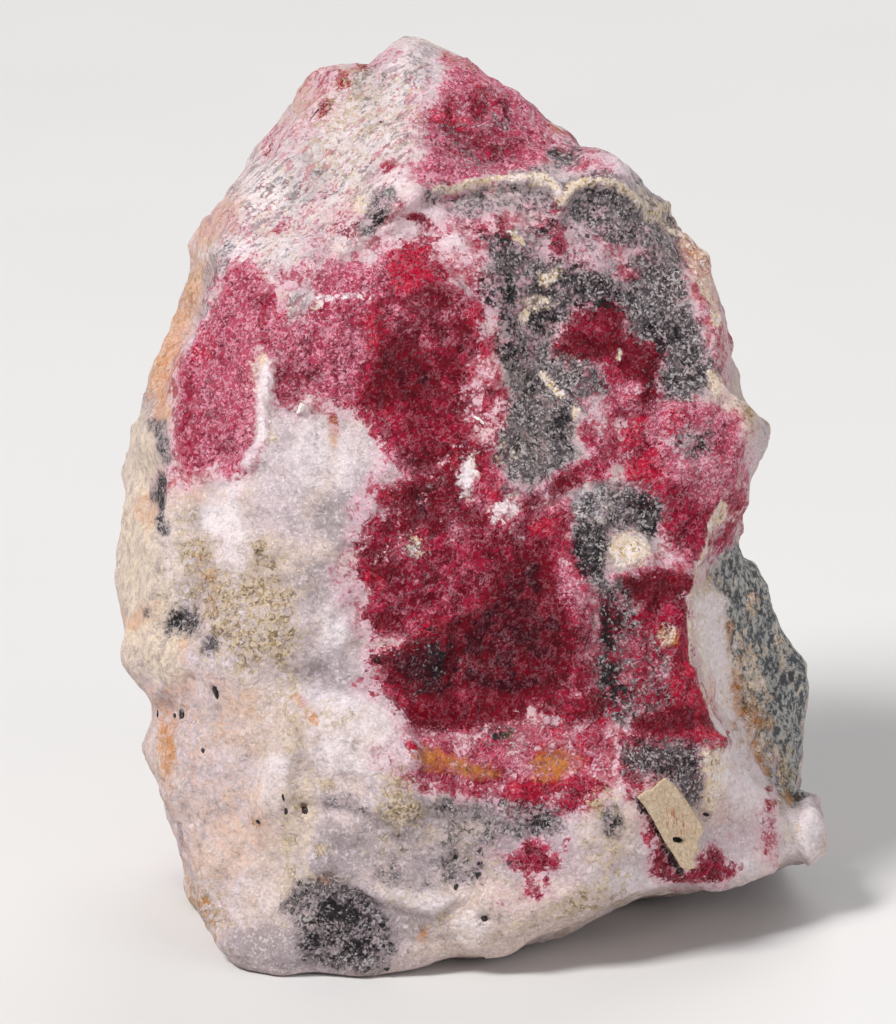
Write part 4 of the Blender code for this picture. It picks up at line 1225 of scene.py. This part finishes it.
class Bench:
    """Lays out the nodes of one material."""

    def __init__(self, name: str) -> None:
        """Starts a material that has a shader and nothing else."""
        self.made = bpy.data.materials.new(name)
        self.made.use_nodes = True
        self.tree = self.made.node_tree
        self.shader = self.tree.nodes["Principled BSDF"]

    def node(self, kind: str, settings: dict | None = None, inputs: dict | None = None) -> bpy.types.Node:
        """Adds one node.

        Args:
            kind: the node's type.
            settings: its properties, which are set first.
            inputs: a value or a link for each socket, by name or by number.

        Returns:
            The node.
        """
        node = self.tree.nodes.new(kind)
        for name, value in (settings or {}).items():
            setattr(node, name, value)
        for name, value in (inputs or {}).items():
            self.feed(node.inputs[name], value)
        return node

    def feed(self, socket: bpy.types.NodeSocket, value: "Signal | bpy.types.NodeSocket | float | tuple") -> None:
        """Gives a socket its value or its link."""
        if isinstance(value, Signal):
            value = value.socket
        if isinstance(value, bpy.types.NodeSocket):
            self.tree.links.new(value, socket)
        else:
            socket.default_value = value

    def maths(self, operation: str, *values: Number) -> Signal:
        """One sum, product or other step between numbers."""
        node = self.node("ShaderNodeMath", {"operation": operation}, dict(enumerate(values)))
        return Signal(self, node.outputs[0])

    def vector(self, operation: str, *values: object, scale: float | None = None) -> bpy.types.Node:
        """One step between vectors."""
        inputs = dict(enumerate(values))
        if scale is not None:
            inputs["Scale"] = scale
        return self.node("ShaderNodeVectorMath", {"operation": operation}, inputs)

    def blend(self, share: Number, first: object, second: object) -> bpy.types.NodeSocket:
        """A colour between two, more of the second as the share grows."""
        return self.node("ShaderNodeMix", {"data_type": "RGBA"}, {0: share, 6: first, 7: second}).outputs[2]

    def place(self, turn: tuple = (0.0, 0.0, 0.0), stretch: tuple = (1.0, 1.0, 1.0)) -> bpy.types.NodeSocket:
        """Object coordinates in millimetres, turned and stretched."""
        coordinates = self.node("ShaderNodeTexCoord").outputs["Object"]
        scale = tuple(s / MM for s in stretch)
        mapped = self.node("ShaderNodeMapping", {}, {"Vector": coordinates, "Rotation": turn, "Scale": scale})
        return mapped.outputs["Vector"]

    def drawn_out(self, place: object, turn: tuple, length: tuple) -> bpy.types.NodeSocket:
        """A place turned, then drawn out so many times along each of the turned directions."""
        settings = {"vector_type": "TEXTURE"}
        return self.node("ShaderNodeMapping", settings, {"Vector": place, "Rotation": turn, "Scale": length}).outputs[0]

    def cloud(
        self, place: object, size: float, detail: float = 2.0, rough: float = 0.5, twist: float = 0.0
    ) -> bpy.types.Node:
        """Soft noise whose swells are so many millimetres wide."""
        return self.node(
            "ShaderNodeTexNoise",
            {},
            {"Vector": place, "Scale": 1.0 / size, "Detail": detail, "Roughness": rough, "Distortion": twist},
        )

    def thirds(self, colour: bpy.types.NodeSocket) -> tuple[Signal, Signal, Signal]:
        """The three parts of a colour as numbers."""
        parts = self.node("ShaderNodeSeparateColor", {}, {0: colour})
        return tuple(Signal(self, part) for part in parts.outputs)

    def signal(self, node: bpy.types.Node, output: str | int = 0) -> Signal:
        """One output of a node as a number."""
        return Signal(self, node.outputs[output])

    def carried(self, name: str) -> Signal:
        """A number that the mesh carries."""
        return Signal(self, self.node("ShaderNodeAttribute", {"attribute_name": name}).outputs["Fac"])

    def finish(self, **sockets: object) -> bpy.types.Material:
        """Feeds the shader's sockets, with spaces for underscores in their names, and gives back the material."""
        for name, value in sockets.items():
            self.feed(self.shader.inputs[name.replace("_", " ")], value)
        return self.made


@dataclass(frozen=True)
class RockFinish:
    """Every mineral of the rock, grain by grain.

    Grains come in three sizes, each with so many to the millimetre and faces that lean by so much.
    """

    dust: tuple[float, float] = (4.8, 0.45)
    chip: tuple[float, float] = (1.7, 0.42)
    crystal: tuple[float, float] = (0.75, 0.25)
    least_rough: float = 0.3
    shine: float = 0.09
    albite: Colour = paint(205, 187, 190)
    albite_warm: Colour = paint(209, 186, 175)
    albite_grey_and_shade: Colour = paint(150, 137, 140)
    snow_and_painted_light: Colour = paint(240, 228, 231)
    blush: Colour = paint(222, 177, 190)
    rose: Colour = paint(176, 64, 90)
    crimson: Colour = paint(152, 20, 50)
    wine: Colour = paint(108, 8, 28)
    flare: Colour = paint(188, 40, 78)
    scarlet: Colour = paint(184, 22, 52)
    maroon: Colour = paint(100, 6, 20)
    claret: Colour = paint(40, 8, 16)
    garnet: Colour = paint(72, 4, 18)
    frosted: Colour = paint(190, 88, 112)
    haze: Colour = paint(230, 166, 184)
    cream: Colour = paint(226, 206, 182)
    umber: Colour = paint(98, 80, 56)
    olive: Colour = paint(158, 130, 82)
    amber: Colour = paint(190, 120, 44)
    peach: Colour = paint(208, 146, 106)
    coal: Colour = paint(20, 18, 21)
    lead: Colour = paint(80, 73, 76)
    smoke: Colour = paint(120, 104, 112)
    ash: Colour = paint(184, 175, 175)
    slab_dark: Colour = paint(88, 90, 93)
    slab_light: Colour = paint(178, 177, 174)
    beige: Colour = paint(229, 203, 168)

    def material(self) -> bpy.types.Material:
        """The rock's material."""
        b = Bench("rock")
        place = b.place()
        sway_r, sway_g, sway_b = b.thirds(b.cloud(place, 2.6, 3.0, 0.6, 0.4).outputs["Color"])
        fray_r, fray_g, fray_b = b.thirds(b.cloud(place, 0.62, 3.0, 0.65, 0.3).outputs["Color"])
        broad_r, broad_g, _ = b.thirds(b.cloud(place, 7.0, 2.0, 0.55, 0.2).outputs["Color"])
        shift = b.vector("SUBTRACT", b.cloud(place, 0.5, 1.0).outputs["Color"], (0.5, 0.5, 0.5)).outputs[0]
        loose = b.vector("ADD", place, b.vector("SCALE", shift, scale=0.45).outputs[0]).outputs[0]
        dust = b.node("ShaderNodeTexVoronoi", {}, {"Vector": loose, "Scale": self.dust[0]})
        dust_r, dust_g, dust_b = b.thirds(dust.outputs["Color"])
        chip = b.node("ShaderNodeTexVoronoi", {}, {"Vector": loose, "Scale": self.chip[0]})
        chip_r, chip_g, chip_b = b.thirds(chip.outputs["Color"])
        crystal = b.node("ShaderNodeTexVoronoi", {}, {"Vector": loose, "Scale": self.crystal[0]})
        crystal_r, crystal_g, crystal_b = b.thirds(crystal.outputs["Color"])

        # how far a patch's edge wanders: wide swells, whole crystals, then ragged
        wander = 2.0 * (sway_r - 0.5) + 1.7 * (fray_r - 0.5) + 0.8 * (crystal_r - 0.5)
        other = 2.2 * (sway_g - 0.5) + 2.1 * (fray_g - 0.5)
        third = 2.2 * (sway_b - 0.5) + 2.1 * (fray_b - 0.5)
        # and single grains that stray over it
        salt = 0.9 * (chip_r - 0.5) + 0.9 * (dust_r - 0.5)

        def filled(mineral: Mineral, soft: float, drift: Signal) -> Signal:
            """1 where a mineral lies, once its edge is broken up."""
            return (b.carried(mineral.value) + drift).between(-soft, soft)

        # fine pale threads: where noise passes through its middle
        one = b.signal(b.cloud(b.drawn_out(place, (0.0, -0.75, 0.0), (2.6, 1.0, 0.9)), 0.62, 2.0, 0.6, 0.5))
        two = b.signal(b.cloud(b.drawn_out(place, (0.15, 0.20, 0.0), (0.9, 1.0, 2.4)), 0.60, 2.0, 0.6, 0.5))
        broken = (0.6 * chip_r + 0.6 * dust_g).between(0.35, 0.85)
        threads = (1.0 - abs(one - 0.5) * 26.0).most(1.0 - abs(two - 0.5) * 28.0).most(0.0) * broken

        # albite: soft greys and warm stains, painted shade where the shade patches lie, and bright sugary grains that
        # are partly painted glints
        mottle = (0.70 * fray_g + 0.20 * dust_g + 0.35 * sway_b).between(0.50, 0.80)
        colour = b.blend(broad_r.between(0.40, 0.62), self.albite, self.albite_warm)
        colour = b.blend(mottle * 0.44, colour, self.albite_grey_and_shade)
        # painted shade: the shade patches blend the albite towards grey, partly its own grey and partly shade
        colour = b.blend(filled(Mineral.GREY_AND_PAINTED_SHADE, 0.9, other) * 0.8, colour, self.albite_grey_and_shade)
        # partly painted glints: bright sugary grains of the albite that also stand in for sparkle on its crystal faces
        sugar_and_glints = (0.8 * dust_b + 0.9 * (fray_b - 0.5)).between(0.54, 0.72)
        # partly painted light: the snow patches whiten the albite, as snowy albite and as light on shaded walls and
        # edges
        snow_and_painted_light_share = filled(Mineral.SNOW_AND_PAINTED_LIGHT, 0.9, third)
        colour = b.blend((snow_and_painted_light_share * 0.75).most(sugar_and_glints * 0.42), colour, self.snow_and_painted_light)

        # slanting streaks of grey, pink and cream
        slant = b.drawn_out(place, (0.0, -0.92, 0.0), (5.0, 1.2, 0.9))
        slant_r, slant_g, slant_b = b.thirds(b.cloud(slant, 0.62, 3.0, 0.65, 0.3).outputs["Color"])
        streaked = b.carried(Mineral.STREAK.value).between(-0.4, 0.8)
        loud = 0.15 * (dust_g - 0.5)
        colour = b.blend((slant_g + loud).between(0.56, 0.64) * streaked * 0.6, colour, self.cream)
        pinker = (slant_b + loud + 0.3 * (sway_r - 0.5)).between(0.54, 0.64)
        colour = b.blend(pinker * streaked * 0.6, colour, self.rose)
        greyer = (slant_r + loud + 0.4 * (broad_g - 0.5)).between(0.50, 0.66)
        colour = b.blend(greyer * streaked * 0.62, colour, self.lead)

        # cream, peach and ochre weathering
        stained = b.blend((0.5 * mottle + 3.0 * (two - 0.5)).most(0.0) * 0.8, self.cream, self.albite_grey_and_shade)
        colour = b.blend(filled(Mineral.CREAM, 0.7, other + salt * 0.5) * 0.75, colour, stained)
        rind = b.blend((0.5 * dust_g + 0.8 * (fray_b - 0.25)).between(0.3, 0.7) * 0.6, self.peach, self.cream)
        colour = b.blend(filled(Mineral.RUST, 0.9, third + salt * 0.4) * 0.8, colour, rind)

        # the grey slab, with beige flecks
        grain = 0.35 * dust_g + 0.6 * fray_b + 2.2 * (two - 0.5)
        slab = b.blend(grain.between(0.24, 0.70), self.slab_dark, self.slab_light)
        speck = 0.25 * dust_b + 0.5 * (fray_g - 0.5) + 2.6 * (two - 0.5) + 1.3 * (sway_b - 0.5)
        slab = b.blend(speck.between(0.38, 0.66) * 0.65, slab, self.beige)
        colour = b.blend(filled(Mineral.SLAB, 0.3, wander * 0.4), colour, slab)

        # a smoky tint around the grey grains
        smoky = (b.carried(Mineral.GREY.value) + 0.7 * third).between(-1.1, 0.5)
        colour = b.blend(smoky * 0.52, colour, self.smoke)

        # blushes: rosy grains among white ones, thicker towards the red
        edge = b.carried(Mineral.RED.value) + wander
        pink = b.carried(Mineral.PINK.value) + other
        halo = edge.between(-1.4, 0.2).most(pink.between(-0.9, 0.9) * 0.9) * (1.0 - 0.5 * snow_and_painted_light_share)
        grit = 0.30 * dust_g + 0.20 * chip_g + 0.30 * (crystal_b - 0.5) + 1.2 * (fray_b - 0.5)
        rosy = (0.45 * halo + grit).between(0.49, 0.71)
        colour = b.blend(halo * 0.85, colour, b.blend(rosy, self.blush, self.rose))
        colour = b.blend((0.35 * halo + grit).between(0.68, 0.92) * halo, colour, self.crimson)

        # crimson: whole crystals darker or brighter, then frosted with pale threads and grains; the pale grains are
        # partly frost and partly painted glints
        deeper = b.carried(Mineral.DEEP.value) + 0.35 * third + 0.6 * (crystal_b - 0.5) + 0.4 * (chip_b - 0.5)
        deep = deeper.between(-0.5, 0.5)
        vivid = filled(Mineral.VIVID, 0.7, 0.8 * other + 0.9 * (crystal_r - 0.5) + 0.5 * (chip_g - 0.5))
        tone = (0.30 * broad_g + 0.50 * crystal_g + 0.30 * chip_g + 0.35 * fray_g).between(0.50, 0.94)
        red = b.blend(tone, self.wine, self.crimson)
        red = b.blend((0.3 * chip_b + 0.4 * crystal_r + 0.5 * sway_b).between(0.64, 0.86) * 0.5, red, self.flare)
        frost = b.carried(Mineral.FROST.value) + 1.6 * (sway_g - 0.5) + 2.0 * (fray_b - 0.5) + 0.7 * (chip_r - 0.5)
        frost = (frost - 1.1 * edge.between(0.1, 1.4) + 0.7).between(-0.7, 1.2)
        red = b.blend(frost * 0.65, red, self.frosted)
        red = b.blend(vivid * 0.8, red, self.scarlet)
        red = b.blend(deep * 0.85, red, self.maroon)
        red = b.blend(deeper.between(0.8, 1.7) * 0.9, red, self.claret)
        red = b.blend(dust_g.between(0.54, 0.80) * 0.62, red, self.garnet)
        # partly painted glints: pale grains of frost that also stand in for sparkle on the crimson
        flecks_and_glints = (0.8 * dust_r + 0.9 * (fray_r - 0.5) + 0.12 * frost).between(0.67, 0.80)
        veil = (threads * (0.32 + 0.45 * frost)).most(flecks_and_glints * (0.20 + 0.46 * frost)) * (1.0 - 0.58 * deep)
        red = b.blend(veil, red, self.haze)
        body = (edge + 0.9 * salt).between(-0.30, 0.30)
        colour = b.blend(body, colour, red)

        # olive crusts, and amber stains that let the grains beneath show
        olive = b.blend((0.6 * dust_b + 0.8 * fray_b).between(0.56, 0.86), self.umber, self.olive)
        olive = b.blend((0.5 * dust_r + 0.8 * fray_r).between(0.58, 0.8) * 0.6, olive, self.cream)
        crusted = filled(Mineral.OCHRE, 0.8, 0.5 * wander + 1.6 * salt + 1.2 * (fray_b - 0.5))
        colour = b.blend(crusted * 0.88, colour, olive)
        amber = b.blend((0.5 * dust_b + 0.9 * fray_b).between(0.32, 0.68), self.umber, self.amber)
        colour = b.blend(filled(Mineral.AMBER, 0.9, wander + 0.8 * salt) * 0.80, colour, amber)

        # grey and black grains
        pepper = b.blend((0.5 * dust_r + 0.4 * chip_g + 0.7 * (fray_b - 0.5)).between(0.35, 0.58), self.coal, self.lead)
        web = (threads * 0.66).most((0.9 * dust_b + 0.8 * (fray_g - 0.5)).between(0.62, 0.80) * 0.86)
        pepper = b.blend(web, pepper, self.ash)
        grey = filled(Mineral.GREY, 0.55, third + 0.8 * salt)
        colour = b.blend(grey * 0.95, colour, pepper)
        soot = b.blend((0.8 * dust_b + 0.9 * (fray_g - 0.5)).between(0.62, 0.80) * 0.62, self.coal, self.ash)
        black = filled(Mineral.BLACK, 0.5, wander + 0.8 * salt)
        colour = b.blend(black * 0.92, colour, soot)

        # cream crust on lips and knobs
        crust = b.blend((0.4 * dust_g + 0.9 * fray_r + 0.5 * snow_and_painted_light_share).between(0.45, 0.95), self.beige, self.snow_and_painted_light)
        crust = b.blend((0.6 * dust_b + 0.6 * fray_g + 0.4 * snow_and_painted_light_share).between(0.28, 0.52), self.olive, crust)
        colour = b.blend(filled(Mineral.CRUST, 0.5, 0.8 * other + 0.6 * salt) * 0.9, colour, crust)

        rough = 0.55 - 0.15 * body + 0.25 * (chip_b - 0.5) + 0.15 * (dust_g - 0.5)

        # flat grain faces, each leaning its own way
        relief = 0.12 * b.thirds(shift)[0]
        for cells, lean in ((dust, self.dust[1]), (chip, self.chip[1]), (crystal, self.crystal[1])):
            away = b.vector("SUBTRACT", loose, cells.outputs["Position"]).outputs[0]
            tilt = b.vector("SUBTRACT", cells.outputs["Color"], (0.5, 0.5, 0.5)).outputs[0]
            relief = relief + b.signal(b.vector("DOT_PRODUCT", away, tilt), "Value") * lean
        bump = b.node("ShaderNodeBump", {}, {"Strength": 1.0, "Distance": MM, "Height": relief})
        return b.finish(
            Base_Color=colour,
            Roughness=rough.most(self.least_rough),
            Normal=bump.outputs["Normal"],
            Specular_IOR_Level=self.shine,
        )


@dataclass(frozen=True)
class CreamFinish:
    """The cream crystal: chalky, with a few rusty scratches and a dark hole."""

    cream: Colour = paint(216, 190, 160)
    pale: Colour = paint(234, 216, 194)
    tan: Colour = paint(180, 150, 120)
    rust: Colour = paint(180, 84, 52)
    hole: Colour = paint(20, 14, 14)

    def material(self) -> bpy.types.Material:
        """The crystal's material."""
        b = Bench("cream_crystal")
        place = b.place()
        fray = b.signal(b.cloud(place, 0.5, 4.0, 0.7))
        grain = b.node("ShaderNodeTexVoronoi", {}, {"Vector": place, "Scale": 7.0})
        grain_r, grain_g, _ = b.thirds(grain.outputs["Color"])
        colour = b.blend(fray.between(0.25, 0.60), self.tan, self.cream)
        colour = b.blend((grain_r + fray - 0.5).between(0.45, 1.0) * 0.6, colour, self.pale)
        streak = b.signal(b.cloud(b.place((0.0, -0.55, 0.0), (1.0, 1.0, 0.25)), 0.35, 2.0, 0.6))
        zone = (b.carried("scratched") + 1.6 * (fray - 0.5)).between(-0.3, 0.6)
        colour = b.blend(streak.between(0.50, 0.60) * zone * 0.8, colour, self.rust)
        colour = b.blend(b.carried("hollow").between(0.2, 0.7), colour, self.hole)
        bump = b.node("ShaderNodeBump", {}, {"Strength": 0.8, "Distance": MM, "Height": 0.12 * fray + 0.05 * grain_g})
        return b.finish(Base_Color=colour, Roughness=0.6, Normal=bump.outputs["Normal"], Specular_IOR_Level=0.3)


@dataclass(frozen=True)
class GrainFinish:
    """Single coarse grains, darker in places."""

    name: str
    body: Colour
    fleck: Colour
    roughness: float

    def material(self) -> bpy.types.Material:
        """The grains' material."""
        b = Bench(self.name)
        place = b.place()
        fray = b.signal(b.cloud(place, 0.3, 3.0, 0.6))
        colour = b.blend(fray.between(0.45, 0.7), self.body, self.fleck)
        bump = b.node("ShaderNodeBump", {}, {"Strength": 0.8, "Distance": MM, "Height": 0.1 * fray})
        rough = self.roughness + 0.3 * (fray - 0.5)
        return b.finish(Base_Color=colour, Roughness=rough, Normal=bump.outputs["Normal"], Specular_IOR_Level=0.4)


@dataclass(frozen=True)
class FloorFinish:
    """A pale, faintly mottled floor."""

    pale: Colour = paint(214, 212, 210)
    paler: Colour = paint(220, 218, 216)

    def material(self) -> bpy.types.Material:
        """The floor's material."""
        b = Bench("floor")
        fray = b.signal(b.cloud(b.place(), 60.0, 3.0))
        return b.finish(Base_Color=b.blend(fray, self.pale, self.paler), Roughness=0.7)


# ---------------------------------------------------------------- floor, light and camera


@dataclass(frozen=True)
class Lamp:
    """A square soft light: where it hangs and how wide it is, in metres, and its power in watts."""

    name: str
    at: tuple[float, float, float]
    size: float
    power: float


@dataclass
class Studio:
    """A plain floor, soft light and the camera. Lengths are metres, and the camera's film is in millimetres."""

    board: Board
    floor_radius: float = 12.0
    floor_sides: int = 64
    lamps: tuple[Lamp, ...] = (
        Lamp("key", (-0.56, -0.44, 0.92), 0.32, 13.2),
        Lamp("fill", (0.75, -0.60, 0.35), 0.70, 2.8),
        Lamp("back", (0.30, 0.90, 0.70), 0.80, 5.0),
    )
    lit: tuple[float, float, float] = (0.0, 0.0, 0.04)
    sky: Colour = paint(232, 234, 238)
    sky_strength: float = 0.31
    film: float = 36.0
    sight: float = 50.0

    def build(self) -> None:
        """Lays the floor, hangs the lights and places the camera."""
        self.lay_floor()
        for lamp in self.lamps:
            self.hang(lamp)
        world = bpy.data.worlds.new("studio")
        world.use_nodes = True
        background = world.node_tree.nodes["Background"]
        background.inputs["Color"].default_value = self.sky
        background.inputs["Strength"].default_value = self.sky_strength
        bpy.context.scene.world = world
        bpy.context.scene.view_settings.view_transform = "Standard"
        self.place_camera()

    def lay_floor(self) -> None:
        """A wide round floor that the rock stands on."""
        bm = bmesh.new()
        bmesh.ops.create_circle(bm, cap_ends=True, segments=self.floor_sides, radius=self.floor_radius)
        floor = placed("floor", bm)
        floor.data.materials.append(FloorFinish().material())
        log.info("floor: %d faces", len(floor.data.polygons))

    def hang(self, lamp: Lamp) -> None:
        """Hangs one square soft light that faces the rock."""
        light = bpy.data.lights.new(lamp.name, "AREA")
        light.size = lamp.size
        light.energy = lamp.power
        hung = bpy.data.objects.new(lamp.name, light)
        hung.location = lamp.at
        hung.rotation_euler = (Vector(self.lit) - Vector(lamp.at)).to_track_quat("-Z", "Y").to_euler()
        hung.visible_camera = False
        bpy.context.scene.collection.objects.link(hung)

    def place_camera(self) -> None:
        """Looks at the display face square on, from the point that the board is seen from."""
        camera = bpy.data.cameras.new("camera")
        camera.lens = self.film * self.board.distance / (self.board.high * self.board.unit)
        camera.sensor_width = self.film
        camera.clip_end = self.sight
        stand = bpy.data.objects.new("camera", camera)
        stand.location = self.board.eye * MM
        stand.rotation_euler = (-self.board.out).to_track_quat("-Z", "Y").to_euler()
        bpy.context.scene.collection.objects.link(stand)
        bpy.context.scene.camera = stand


def main() -> None:
    """Builds the specimen and its studio in order."""
    logging.basicConfig(level=logging.INFO, format="%(name)s: %(message)s")
    board = Board()
    Studio(board).build()
    skin = RockSkin(board)
    skin.build()
    crystal = CreamCrystal(board)
    crystal.build(skin)
    crystal.dress(CreamFinish())
    dark = Grains(board, "dark_grains", DARK_GRAINS)
    dark.build(skin)
    dark.dress(GrainFinish("dark_grains", paint(26, 22, 24), paint(70, 60, 60), 0.35))
    white = Grains(board, "white_glint_grains", GLINT_GRAINS, sides=1)
    white.build(skin)
    white.dress(GrainFinish("white_glint_grains", paint(236, 230, 226), paint(214, 196, 190), 0.35))
    skin.dress(RockFinish())


if __name__ == "__main__":
    main()
